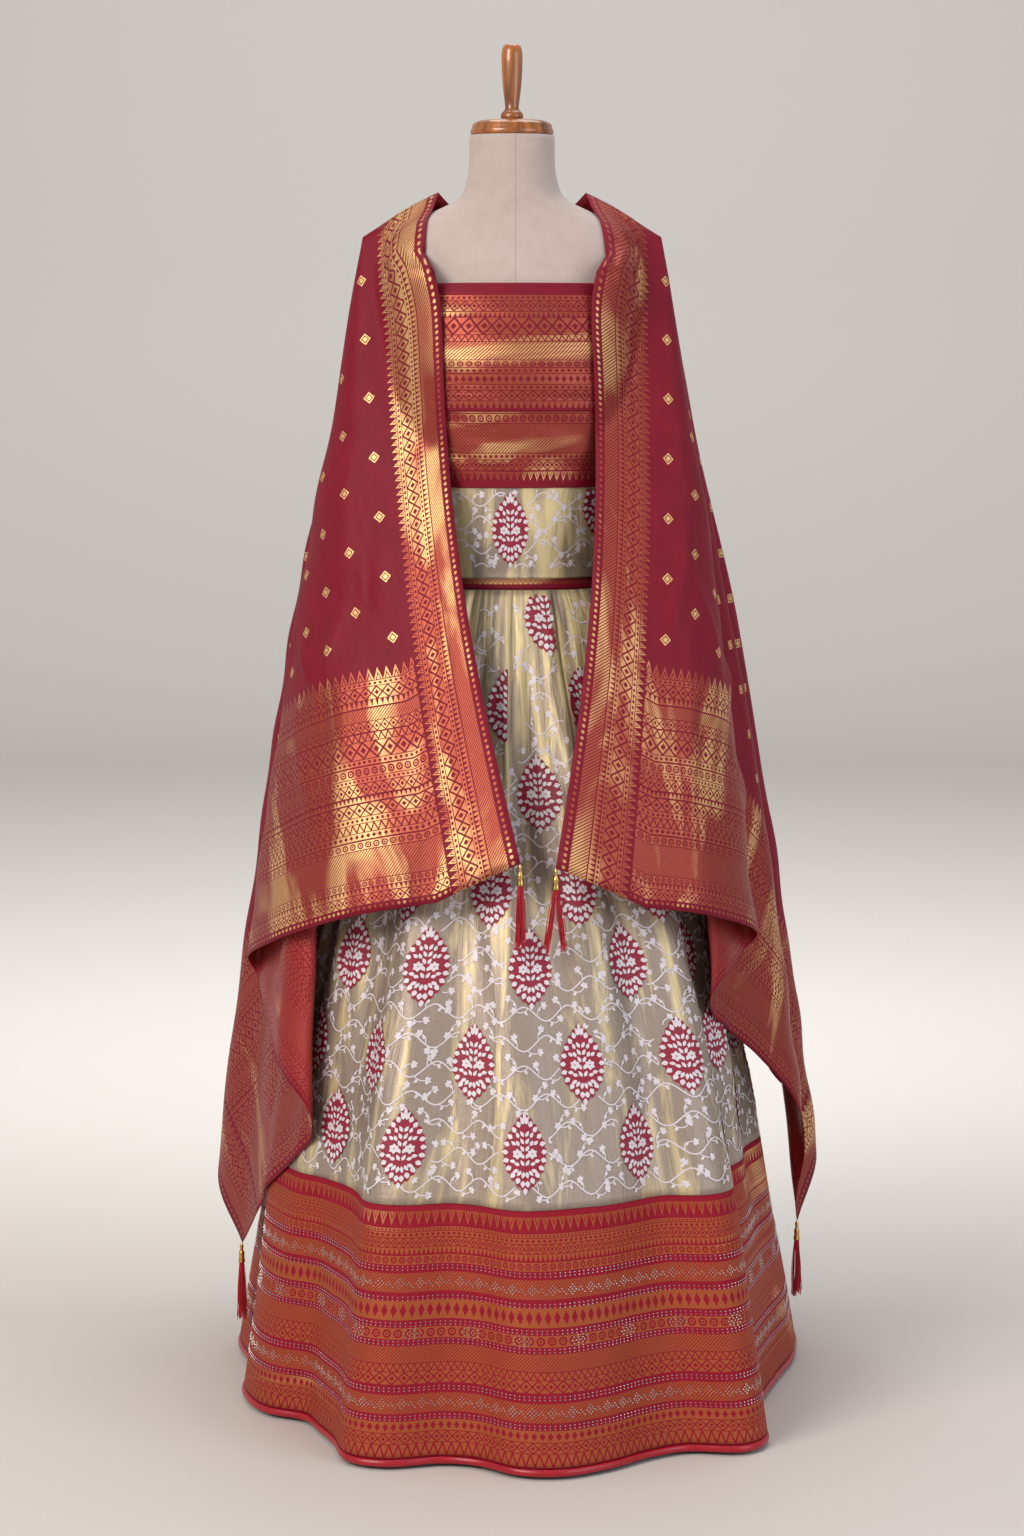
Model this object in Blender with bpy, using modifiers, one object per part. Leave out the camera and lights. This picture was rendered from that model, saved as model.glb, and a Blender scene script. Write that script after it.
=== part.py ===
"""A brocade lehenga set on a limbless dress form: pleated skirt, wrapped bodice and draped dupatta.

Metres, +Z up. The front faces -Y, the origin is on the floor under the middle of the set.
Angles round the body are measured from the front (-Y) and grow towards +X.
"""
import math

import bmesh
import bpy
from mathutils import Matrix, Vector
from mathutils.bvhtree import BVHTree

# Driving dimensions
GAP = 0.0004              # between cloth layers that touch
CLOTH = 0.0013            # wall of the bodice cloth and the dupatta
SKIRT_CLOTH = 0.0016      # tissue and its lining read as one wall

# Dress form
FORM_COLUMNS = 40
NECK_TOP_Z = 1.574
CAP_RADIUS = 0.0515
CAP_HEIGHT = 0.019
HANDLE_LENGTH = 0.092
HANDLE_RADIUS = 0.0128
POLE_RADIUS = 0.0125
BASE_RADIUS = 0.17
BASE_HEIGHT = 0.018

# Form sections from hip to neck: height, half width, depth in front, depth behind
FORM_TABLE = (
    (0.860, 0.152, 0.108, 0.116),
    (0.900, 0.158, 0.112, 0.122),
    (0.950, 0.152, 0.108, 0.116),
    (1.000, 0.132, 0.101, 0.098),
    (1.034, 0.120, 0.096, 0.086),
    (1.080, 0.121, 0.099, 0.086),
    (1.145, 0.129, 0.106, 0.094),
    (1.200, 0.137, 0.117, 0.100),
    (1.250, 0.143, 0.130, 0.104),
    (1.300, 0.147, 0.133, 0.106),
    (1.350, 0.150, 0.119, 0.106),
    (1.392, 0.153, 0.101, 0.103),
    (1.425, 0.157, 0.084, 0.093),
    (1.448, 0.153, 0.071, 0.080),
    (1.466, 0.130, 0.062, 0.068),
    (1.482, 0.096, 0.056, 0.060),
    (1.496, 0.068, 0.054, 0.057),
    (1.520, 0.056, 0.052, 0.054),
    (NECK_TOP_Z, 0.0525, 0.0515, 0.0525),
)

# Bodice: three tiers of cloth wound on the form, and the skirt's band
BAND_BOTTOM_Z = 1.0205
BAND_TOP_Z = 1.045
MIDRIFF_BOTTOM_Z = 1.034
MIDRIFF_TOP_Z = 1.156
LOWER_TIER_BOTTOM_Z = 1.145
LOWER_TIER_TOP_Z = 1.248
UPPER_TIER_BOTTOM_Z = 1.238
UPPER_TIER_TOP_Z = 1.392

# Skirt
PLEATS = 14
COLUMNS_PER_PLEAT = 8
SKIRT_TOP_Z = BAND_BOTTOM_Z - 0.0012
SEAM_Z = 0.305
HEM_Z = 0.004
PIPING_HEIGHT = 0.009
PLEAT_STEP = 0.0055       # how far a pleat's edge stands over the next one
FLUTE_DEPTH = 0.007       # soft flutes that the pleats open into

# Skirt sections: height, half width, depth in front, depth behind
SKIRT_TABLE = (
    (0.000, 0.362, 0.392, 0.412),
    (0.150, 0.338, 0.366, 0.382),
    (0.300, 0.314, 0.336, 0.346),
    (0.450, 0.284, 0.296, 0.300),
    (0.600, 0.248, 0.246, 0.252),
    (0.750, 0.212, 0.192, 0.205),
    (0.870, 0.184, 0.150, 0.165),
    (0.950, 0.166, 0.124, 0.134),
    (1.000, 0.143, 0.110, 0.110),
    (SKIRT_TOP_Z, 0.1255, 0.1015, 0.0915),
)

# Folds of the hem: angle in degrees, radius as a share of the plain section
HEM_FOLDS = (
    (-180, 0.95),
    (-165, 1.06),
    (-148, 0.93),
    (-133, 1.08),
    (-118, 1.08),
    (-96, 0.93),
    (-76, 0.95),
    (-62, 0.92),
    (-53, 0.84),
    (-44, 0.87),
    (-36, 0.93),
    (-29, 1.03),
    (-22, 1.03),
    (-13, 0.945),
    (-6, 0.955),
    (1, 1.04),
    (8, 1.06),
    (16, 1.02),
    (26, 0.96),
    (34, 0.975),
    (41, 1.09),
    (48, 1.08),
    (58, 0.93),
    (72, 0.90),
    (88, 0.94),
    (106, 1.05),
    (122, 1.12),
    (138, 0.94),
    (154, 1.05),
    (168, 0.96),
)

# Dupatta, a rectangle of cloth over both shoulders
DUPATTA_HALF_LENGTH = 1.05
DUPATTA_WIDTH = 1.10
TIP_STATION = 0.21        # along the cloth, from the middle of the back to the shoulder tip
TIP_INSET = 0.107         # across the cloth, from the neck edge to the shoulder tip
HANG = DUPATTA_HALF_LENGTH - TIP_STATION
DROP = DUPATTA_WIDTH - TIP_INSET
SHOULDER_TIP = (0.184, 0.004, 1.4500)
NECK_POINT = (0.084, 0.004, 1.4935)
BACK_TOP = (0.0, 0.092, 1.448)
BACK_YOKE = (0.0, 0.124, 1.346)
SHOULDER_LINE_Z = 1.405   # above this the drape is lifted off the form's own facets
SHOULDER_BULGE = 0.014
NECK_EDGE_BOW = 0.032     # the neck edge hangs out round the bust
FRONT_BEARING = 0.40      # radians round the shoulder tip, from straight down in front
BACK_BEARING = 1.15
DRAPE_CLEARANCE = 0.004    # from the skirt and the bodice
REST_CLEARANCE = 0.00145   # from the middle of the wall to the shoulder that carries it
UNFOLDED_SPAN = 0.30      # near the shoulder the folds are evened out over this much edge

# Where the cloth's free edges hang, half by half: distance along the edge from the front
# corner (down the short end, then back along the outer selvedge), sideways reach, depth
LEFT_EDGE = (
    (0.000, -0.010, -0.280),
    (0.107, 0.090, -0.262),
    (0.237, 0.208, -0.232),
    (0.357, 0.292, -0.140),
    (0.450, 0.331, -0.040),
    (0.510, 0.323, -0.006),
    (0.600, 0.306, -0.068),
    (0.700, 0.284, -0.162),
    (0.797, 0.244, -0.197),
    (0.880, 0.258, -0.133),
    (0.990, 0.316, -0.033),
    (1.100, 0.350, 0.069),
    (1.200, 0.388, 0.140),
    (1.300, 0.370, 0.205),
    (1.400, 0.344, 0.236),
    (1.500, 0.358, 0.308),
    (1.600, 0.310, 0.361),
    (1.700, 0.255, 0.341),
    (1.800, 0.214, 0.389),
    (1.940, 0.165, 0.412),
    (1.990, 0.125, 0.440),
    (2.045, 0.085, 0.405),
    (2.100, 0.040, 0.435),
    (2.150, 0.000, 0.412),
)
RIGHT_EDGE = (
    (0.000, 0.052, -0.280),
    (0.107, 0.158, -0.258),
    (0.207, 0.238, -0.222),
    (0.290, 0.292, -0.150),
    (0.345, 0.303, -0.088),
    (0.400, 0.289, -0.072),
    (0.470, 0.262, -0.142),
    (0.530, 0.243, -0.160),
    (0.600, 0.255, -0.093),
    (0.700, 0.308, -0.032),
    (0.850, 0.369, 0.026),
    (0.950, 0.380, 0.093),
    (1.100, 0.376, 0.147),
    (1.200, 0.407, 0.196),
    (1.300, 0.379, 0.252),
    (1.400, 0.342, 0.258),
    (1.500, 0.341, 0.330),
    (1.600, 0.300, 0.377),
    (1.700, 0.245, 0.356),
    (1.800, 0.214, 0.399),
    (1.940, 0.160, 0.418),
    (1.990, 0.120, 0.400),
    (2.045, 0.085, 0.432),
    (2.100, 0.045, 0.402),
    (2.150, 0.000, 0.412),
)

# Tassels, one at each corner of the dupatta
TASSEL_CAP_LENGTH = 0.026
TASSEL_CAP_RADIUS = 0.0042
STRANDS_PER_SIDE = 4
STRAND_PITCH = 0.0018
STRAND_WIDTH = 0.0011
STRAND_LENGTH = 0.070
STRAND_SPLAY = 1.9

COLOURS = {
    "linen": ((0.60, 0.52, 0.49), 0.9, 0.0),
    "teak": ((0.42, 0.17, 0.04), 0.25, 0.0),
    "steel": ((0.35, 0.35, 0.36), 0.35, 1.0),
    "brocade": ((0.55, 0.15, 0.07), 0.4, 0.4),
    "tissue": ((0.62, 0.52, 0.36), 0.4, 0.4),
    "silk": ((0.36, 0.02, 0.05), 0.5, 0.0),
    "piping": ((0.62, 0.01, 0.03), 0.45, 0.0),
    "brass": ((0.75, 0.55, 0.25), 0.3, 1.0),
    "thread": ((0.50, 0.01, 0.03), 0.6, 0.0),
}


def clear_scene():
    for item in list(bpy.data.objects):
        bpy.data.objects.remove(item, do_unlink=True)


def material(name):
    found = bpy.data.materials.get(name)
    if found:
        return found
    colour, roughness, metallic = COLOURS[name]
    made = bpy.data.materials.new(name)
    made.use_nodes = True
    shader = made.node_tree.nodes["Principled BSDF"]
    shader.inputs["Base Color"].default_value = (*colour, 1.0)
    shader.inputs["Roughness"].default_value = roughness
    shader.inputs["Metallic"].default_value = metallic
    return made


def new_object(name, mesh, finish, collection):
    made = bpy.data.objects.new(name, mesh)
    collection.objects.link(made)
    mesh.materials.append(material(finish))
    return made


def smooth_through(rows, column, at):
    """Cubic curve through a table's rows, read at a value of its first column."""
    last = len(rows) - 1
    if at <= rows[0][0]:
        return rows[0][column]
    if at >= rows[last][0]:
        return rows[last][column]
    i = max(k for k in range(last) if rows[k][0] <= at)
    x0, x1 = rows[i][0], rows[i + 1][0]
    y0, y1 = rows[i][column], rows[i + 1][column]
    chord = (y1 - y0) / (x1 - x0)
    slopes = [chord, chord]
    if i > 0:
        before = (y0 - rows[i - 1][column]) / (x0 - rows[i - 1][0])
        slopes[0] = (before + chord) / 2
    if i + 1 < last:
        after = (rows[i + 2][column] - y1) / (rows[i + 2][0] - x1)
        slopes[1] = (after + chord) / 2
    u = (at - x0) / (x1 - x0)
    step = x1 - x0
    return (
        (2 * u**3 - 3 * u**2 + 1) * y0
        + (u**3 - 2 * u**2 + u) * step * slopes[0]
        + (3 * u**2 - 2 * u**3) * y1
        + (u**3 - u**2) * step * slopes[1]
    )


def ease(low, high, at):
    """0 below low, 1 above high, smooth between."""
    u = min(1.0, max(0.0, (at - low) / (high - low)))
    return u * u * (3 - 2 * u)


def oval(half_width, front, behind, angle, roundness=2.15):
    """Point of a body section at an angle, and its radius."""
    depth = front if math.cos(angle) > 0 else behind
    side = abs(math.sin(angle)) / half_width
    along = abs(math.cos(angle)) / depth
    return (side**roundness + along**roundness) ** (-1 / roundness)


def form_radius(angle, z):
    """The form's facets are straight between its sections, so cloth on it reads them the same way."""
    z = min(max(z, FORM_TABLE[0][0]), FORM_TABLE[-1][0])
    i = max(k for k in range(len(FORM_TABLE) - 1) if FORM_TABLE[k][0] <= z + 1e-9)
    low, high = FORM_TABLE[i], FORM_TABLE[i + 1]
    u = (z - low[0]) / (high[0] - low[0])
    return oval(*low[1:], angle) * (1 - u) + oval(*high[1:], angle) * u


def at_angle(radius, angle, z):
    return Vector((radius * math.sin(angle), -radius * math.cos(angle), z))


def hem_share(angle):
    """How far out the hem's folds stand at an angle, as a share of the plain section."""
    degrees = math.degrees(angle)
    degrees = (degrees + 180) % 360 - 180
    closed = HEM_FOLDS + ((180, HEM_FOLDS[0][1]),)
    return smooth_through(closed, 1, degrees)


def pleat_profile(angle):
    """Sawtooth of the knife pleats at the waist: 0 under a pleat's edge, 1 on top of it."""
    turn = (angle / (2 * math.pi) * PLEATS) % 1.0
    if turn < 0.86:
        return turn / 0.86
    return 1 - (turn - 0.86) / 0.14


def skirt_radius(angle, z):
    half_width = smooth_through(SKIRT_TABLE, 1, z)
    front = smooth_through(SKIRT_TABLE, 2, z)
    behind = smooth_through(SKIRT_TABLE, 3, z)
    plain = oval(half_width, front, behind, angle)
    opening = 1 - ease(0.02, 0.98, z)
    folded = plain * (1 + (hem_share(angle) - 1) * opening)
    pleats = PLEAT_STEP * pleat_profile(angle) * ease(0.62, 0.95, z)
    flutes = FLUTE_DEPTH * math.cos(PLEATS * angle + 0.6) * ease(0.98, 0.80, z) * ease(0.10, 0.45, z)
    return folded + pleats + flutes


def loft(name, columns, heights, point, finish, collection):
    """Open tube of cloth through rings of points, one ring for each height."""
    mesh = bpy.data.meshes.new(name)
    bm = bmesh.new()
    rings = []
    for z in heights:
        ring = [bm.verts.new(point(2 * math.pi * k / columns, z)) for k in range(columns)]
        rings.append(ring)
    for low, high in zip(rings, rings[1:]):
        for k in range(columns):
            n = (k + 1) % columns
            bm.faces.new((low[k], low[n], high[n], high[k]))
    bmesh.ops.recalc_face_normals(bm, faces=bm.faces)
    bm.to_mesh(mesh)
    bm.free()
    mesh.shade_smooth()
    return new_object(name, mesh, finish, collection)


def outward(item):
    """Turns an open tube's faces away from the upright axis."""
    bm = bmesh.new()
    bm.from_mesh(item.data)
    total = sum(f.normal.dot(Vector((f.calc_center_median().x, f.calc_center_median().y, 0))) for f in bm.faces)
    if total < 0:
        bmesh.ops.reverse_faces(bm, faces=bm.faces)
    bm.to_mesh(item.data)
    bm.free()


def thicken(item, thickness, offset):
    wall = item.modifiers.new("wall", "SOLIDIFY")
    wall.thickness = thickness
    wall.offset = offset
    wall.use_even_offset = False


def levels_between(low, high):
    """The form's own section heights inside a span, with the span's ends."""
    inside = [row[0] for row in FORM_TABLE if low + 0.004 < row[0] < high - 0.004]
    return [low, *inside, high]


def cloth_tier(name, low, high, offset, finish, collection):
    """Cloth wound round the form: the form's own facets, moved out."""

    def wall(angle, z, out):
        return at_angle(form_radius(angle, z) + out, angle, z)

    heights = levels_between(low, high)
    mesh = bpy.data.meshes.new(name)
    bm = bmesh.new()
    rings = []
    path = [(z, offset) for z in heights] + [(z, offset + CLOTH) for z in reversed(heights)]
    for z, out in path:
        rings.append([bm.verts.new(wall(2 * math.pi * k / FORM_COLUMNS, z, out)) for k in range(FORM_COLUMNS)])
    for one, two in zip(rings, rings[1:] + rings[:1]):
        for k in range(FORM_COLUMNS):
            n = (k + 1) % FORM_COLUMNS
            bm.faces.new((one[k], one[n], two[n], two[k]))
    bmesh.ops.recalc_face_normals(bm, faces=bm.faces)
    bm.to_mesh(mesh)
    bm.free()
    return new_object(name, mesh, finish, collection)


def make_form(collection):
    torso = loft(
        "form_torso",
        FORM_COLUMNS,
        [row[0] for row in FORM_TABLE],
        lambda angle, z: at_angle(form_radius(angle, z), angle, z),
        "linen",
        collection,
    )
    bm = bmesh.new()
    bm.from_mesh(torso.data)
    bmesh.ops.holes_fill(bm, edges=[e for e in bm.edges if e.is_boundary])
    bmesh.ops.recalc_face_normals(bm, faces=bm.faces)
    bm.to_mesh(torso.data)
    bm.free()

    torso_foot = FORM_TABLE[0][0]
    cap_profile = (
        (0.000, 0.0),
        (CAP_RADIUS - 0.0015, 0.0),
        (CAP_RADIUS, 0.0015),
        (CAP_RADIUS, 0.0060),
        (CAP_RADIUS - 0.0020, 0.0120),
        (CAP_RADIUS - 0.0060, 0.0165),
        (CAP_RADIUS - 0.0110, 0.0185),
        (0.016, CAP_HEIGHT),
        (0.000, CAP_HEIGHT),
    )
    turned("neck_cap", cap_profile, NECK_TOP_Z + GAP, 28, "teak", collection)
    handle_profile = (
        (0.0000, 0.000),
        (0.0125, 0.000),
        (0.0140, 0.003),
        (0.0135, 0.007),
        (0.0100, 0.011),
        (0.0085, 0.014),
        (0.0105, 0.030),
        (0.0122, 0.050),
        (HANDLE_RADIUS, 0.070),
        (0.0130, 0.080),
        (0.0115, 0.087),
        (0.0075, 0.091),
        (0.0000, HANDLE_LENGTH),
    )
    turned("cap_handle", handle_profile, NECK_TOP_Z + CAP_HEIGHT + 2 * GAP, 16, "teak", collection)
    cylinder("stand_pole", POLE_RADIUS, BASE_HEIGHT + GAP, torso_foot - GAP, 16, "steel", collection)
    base_profile = (
        (0.000, 0.0),
        (BASE_RADIUS - 0.002, 0.0),
        (BASE_RADIUS, 0.002),
        (BASE_RADIUS, 0.008),
        (BASE_RADIUS - 0.010, 0.012),
        (0.040, BASE_HEIGHT),
        (0.000, BASE_HEIGHT),
    )
    turned("stand_base", base_profile, 0.0, 32, "steel", collection)


def turned(name, profile, foot, steps, finish, collection):
    """Turned piece: a profile of radius and height, spun round the upright axis."""
    mesh = bpy.data.meshes.new(name)
    bm = bmesh.new()
    verts = [bm.verts.new((radius, 0.0, foot + height)) for radius, height in profile]
    edges = [bm.edges.new(pair) for pair in zip(verts, verts[1:])]
    bmesh.ops.spin(
        bm,
        geom=verts + edges,
        cent=(0, 0, 0),
        axis=(0, 0, 1),
        angle=2 * math.pi,
        steps=steps,
        use_merge=True,
    )
    bmesh.ops.remove_doubles(bm, verts=bm.verts, dist=0.00001)
    bmesh.ops.recalc_face_normals(bm, faces=bm.faces)
    bm.to_mesh(mesh)
    bm.free()
    return new_object(name, mesh, finish, collection)


def cylinder(name, radius, low, high, segments, finish, collection):
    mesh = bpy.data.meshes.new(name)
    bm = bmesh.new()
    bmesh.ops.create_cone(
        bm, cap_ends=True, segments=segments, radius1=radius, radius2=radius, depth=high - low
    )
    bmesh.ops.translate(bm, verts=bm.verts, vec=(0, 0, (low + high) / 2))
    bm.to_mesh(mesh)
    bm.free()
    return new_object(name, mesh, finish, collection)


def make_bodice(collection):
    waistband = GAP
    midriff = waistband + CLOTH + GAP
    lower = midriff + CLOTH + GAP
    upper = lower + CLOTH + GAP
    cloth_tier("skirt_waistband", BAND_BOTTOM_Z, BAND_TOP_Z, waistband, "brocade", collection)
    cloth_tier("bodice_midriff", MIDRIFF_BOTTOM_Z, MIDRIFF_TOP_Z, midriff, "tissue", collection)
    cloth_tier("bodice_lower_tier", LOWER_TIER_BOTTOM_Z, LOWER_TIER_TOP_Z, lower, "brocade", collection)
    cloth_tier("bodice_upper_tier", UPPER_TIER_BOTTOM_Z, UPPER_TIER_TOP_Z, upper, "brocade", collection)


def make_skirt(collection):
    columns = PLEATS * COLUMNS_PER_PLEAT

    def wall(angle, z):
        return at_angle(skirt_radius(angle, z), angle, z)

    body_heights = (SEAM_Z + GAP, 0.42, 0.54, 0.66, 0.77, 0.87, 0.945, 0.99, SKIRT_TOP_Z)
    border_heights = (HEM_Z + PIPING_HEIGHT, 0.11, 0.21, SEAM_Z)
    piping_heights = (HEM_Z, HEM_Z + PIPING_HEIGHT - GAP)
    for name, heights, finish in (
        ("skirt_body", body_heights, "tissue"),
        ("skirt_border", border_heights, "brocade"),
        ("skirt_piping", piping_heights, "piping"),
    ):
        tube = loft(name, columns, heights, wall, finish, collection)
        outward(tube)
        thicken(tube, SKIRT_CLOTH, 1.0)


def dressed_radius(angle, z):
    """Outer radius of the dressed form at an angle and a height."""
    if z < SKIRT_TOP_Z:
        return skirt_radius(angle, z) + SKIRT_CLOTH
    tiers = 4 * (CLOTH + GAP) * (1 - ease(UPPER_TIER_TOP_Z, UPPER_TIER_TOP_Z + 0.02, z))
    return form_radius(angle, z) + tiers


def edge_plan(table, side, along, evened):
    """Plan of the hanging edge, with its folds evened out by a share."""
    x = smooth_through(table, 1, along)
    y = smooth_through(table, 2, along)
    if evened > 0:
        steps = [along + UNFOLDED_SPAN * k / 4 for k in range(-4, 5)]
        mean_x = sum(smooth_through(table, 1, a) for a in steps) / len(steps)
        mean_y = sum(smooth_through(table, 2, a) for a in steps) / len(steps)
        x += (mean_x - x) * evened
        y += (mean_y - y) * evened
    return side * x, y


def edge_point(table, side, along, apex, length, evened):
    """Where the free edge hangs: its plan from the table, its height from the cloth's length."""
    x, y = edge_plan(table, side, along, evened)
    flat = (x - apex.x) ** 2 + (y - apex.y) ** 2
    fall = math.sqrt(max(length**2 - flat, (0.5 * length) ** 2))
    return Vector((x, y, apex.z - fall))


def dupatta_point(s, t):
    """Place of the cloth at s along its length from the middle of the back and t across it."""
    side = -1.0 if s < 0 else 1.0
    table = LEFT_EDGE if s < 0 else RIGHT_EDGE
    s = abs(s)
    tip = Vector((side * SHOULDER_TIP[0], *SHOULDER_TIP[1:]))
    neck = Vector((side * NECK_POINT[0], *NECK_POINT[1:]))
    if s >= TIP_STATION and t <= TIP_INSET:
        apex = neck.lerp(tip, t / TIP_INSET)
        done = (s - TIP_STATION) / HANG
        place = apex.lerp(edge_point(table, side, t, apex, HANG, 0.0), done)
        place.x += side * NECK_EDGE_BOW * (1 - 0.6 * t / TIP_INSET) * math.sin(math.pi * done)
        return push_straight(place, -1)
    if s >= TIP_STATION:
        down, across = s - TIP_STATION, t - TIP_INSET
        reach = math.hypot(down, across)
        if down * DROP >= across * HANG:
            full = reach * HANG / max(down, 1e-9)
            along = TIP_INSET + across * HANG / max(down, 1e-9)
        else:
            full = reach * DROP / across
            along = DUPATTA_WIDTH + HANG - down * DROP / across
        done = reach / full
        evened = (1 - ease(0.08, 0.36, reach)) * ease(0.0, 0.12, across)
        place = tip.lerp(edge_point(table, side, along, tip, full, evened), done)
        place.x += side * SHOULDER_BULGE * math.sin(math.pi * done) * ease(0.1, 0.4, across)
        place.x += side * NECK_EDGE_BOW * 0.4 * math.sin(math.pi * done) * (1 - ease(0.0, 0.3, across))
        bearing = math.atan2(across, max(down, 1e-9))
        if bearing < FRONT_BEARING:
            return push_straight(place, -1)
        if bearing > BACK_BEARING:
            return push_straight(place, 1)
        return push_round(place)
    share = s / TIP_STATION
    top = Vector(BACK_TOP).lerp(neck, share)
    top.y = BACK_TOP[1] + (neck.y - BACK_TOP[1]) * share**2.2
    top.z = BACK_TOP[2] + (neck.z - BACK_TOP[2]) * share**2
    yoke = Vector(BACK_YOKE).lerp(tip, share)
    yoke.y = BACK_YOKE[1] + (tip.y - BACK_YOKE[1]) * share**2.2
    yoke.z = BACK_YOKE[2] + (tip.z - BACK_YOKE[2]) * share**2
    if t <= TIP_INSET:
        return push_straight(top.lerp(yoke, t / TIP_INSET), 1)
    along = DUPATTA_WIDTH + DUPATTA_HALF_LENGTH - s
    down = t - TIP_INSET
    done = down / DROP
    evened = (1 - ease(0.08, 0.36, down)) * ease(0.0, 0.12, down)
    place = yoke.lerp(edge_point(table, side, along, yoke, DROP, evened), done)
    place.x += side * SHOULDER_BULGE * math.sin(math.pi * done) * ease(0.1, 0.4, down) * share**2
    return push_straight(place, 1)


def bearing_of(place):
    return math.atan2(place.x, -place.y)


def inside_body(place):
    limit = dressed_radius(bearing_of(place), place.z) + DRAPE_CLEARANCE
    return math.hypot(place.x, place.y) < limit


def push_straight(place, way):
    """Moves a point forward (way -1) or back (way 1) until it lies outside the dressed form."""
    if place.z > SHOULDER_LINE_Z:
        return place
    if way * place.y < 0 and inside_body(place):
        place.y = 0.0
    while inside_body(place):
        place.y += way * 0.001
    return place


def push_round(place):
    """Moves a point straight out from the upright axis until it lies outside the dressed form."""
    limit = dressed_radius(bearing_of(place), place.z) + DRAPE_CLEARANCE
    radius = math.hypot(place.x, place.y)
    if radius < limit and place.z < SHOULDER_LINE_Z:
        place.x *= limit / radius
        place.y *= limit / radius
    return place


def body_shell():
    """Search tree over the dressed form, grown by the clearance that the drape keeps."""
    bm = bmesh.new()
    skirt_heights = [0.10 + 0.046 * k for k in range(20)]
    form_heights = [SKIRT_TOP_Z] + [row[0] for row in FORM_TABLE if row[0] > SKIRT_TOP_Z]
    form_heights += [UPPER_TIER_TOP_Z - 0.0005, UPPER_TIER_TOP_Z + 0.02]
    for columns, heights in (
        (PLEATS * COLUMNS_PER_PLEAT, skirt_heights),
        (FORM_COLUMNS, sorted(form_heights)),
    ):
        rings = []
        for z in heights:
            angles = [2 * math.pi * k / columns for k in range(columns)]
            rings.append([bm.verts.new(at_angle(dressed_radius(a, z), a, z)) for a in angles])
        for low, high in zip(rings, rings[1:]):
            for k in range(columns):
                n = (k + 1) % columns
                bm.faces.new((low[k], low[n], high[n], high[k]))
    bm.normal_update()
    for v in bm.verts:
        resting = ease(SHOULDER_LINE_Z - 0.04, SHOULDER_LINE_Z + 0.02, v.co.z)
        v.co += v.normal * (DRAPE_CLEARANCE + (REST_CLEARANCE - DRAPE_CLEARANCE) * resting)
    bm.normal_update()
    return BVHTree.FromBMesh(bm), bm


def settle(bm, shell, rounds):
    """Lifts the drape's points until none of its faces cuts the grown body."""
    for _ in range(rounds):
        shifts = {}
        for v in bm.verts:
            near, normal, _, _ = shell.find_nearest(v.co, 0.08)
            if near is not None and (v.co - near).dot(normal) < -0.00001:
                shifts[v] = near + normal * 0.0001 - v.co
        if not shifts:
            bm.faces.ensure_lookup_table()
            for mine, _ in BVHTree.FromBMesh(bm).overlap(shell):
                face = bm.faces[mine]
                _, normal, _, _ = shell.find_nearest(face.calc_center_median())
                for v in face.verts:
                    shifts[v] = normal * 0.0005
        if not shifts:
            return
        for v, shift in shifts.items():
            v.co += shift


def even_out(bm, hung, passes):
    """Spreads the lifts over neighbouring points, so that the drape stays smooth."""
    for _ in range(passes):
        lifts = {v: v.co - hung[v] for v in bm.verts}
        for v in bm.verts:
            around = [lifts[e.other_vert(v)] for e in v.link_edges]
            mean = sum(around, Vector()) / len(around)
            v.co = hung[v] + lifts[v] * 0.4 + mean * 0.6


def drape_places():
    """Cloth coordinates of the drape's points: rows fan out from the shoulder, as its folds do."""
    rows = (0.0, 0.025, 0.06, 0.11, 0.18, 0.27, 0.38, 0.50, 0.62, 0.74, 0.87, 1.0)
    strip = (0.0, 0.036, 0.072, TIP_INSET)
    patches = []
    for side, table in ((-1, LEFT_EDGE), (1, RIGHT_EDGE)):
        patches.append([[(side * (TIP_STATION + HANG * f), t) for t in strip] for f in rows])
        stops = [row[0] for row in table if TIP_INSET <= row[0] <= DUPATTA_WIDTH + HANG + 1e-6]
        between = [(a + b) / 2 for a, b in zip(stops, stops[1:]) if b - a > 0.055]
        fan = []
        for f in rows:
            ring = []
            for along in sorted(stops + between):
                if along <= DUPATTA_WIDTH:
                    down, across = HANG, along - TIP_INSET
                else:
                    down, across = DUPATTA_WIDTH + HANG - along, DROP
                ring.append((side * (TIP_STATION + down * f), TIP_INSET + across * f))
            fan.append(ring)
        patches.append(fan)
    stations = [TIP_STATION * k / 4 for k in range(-4, 5)]
    down_back = list(strip) + [TIP_INSET + DROP * f for f in rows[1:]]
    patches.append([[(s, t) for s in stations] for t in down_back])
    return patches


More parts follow.
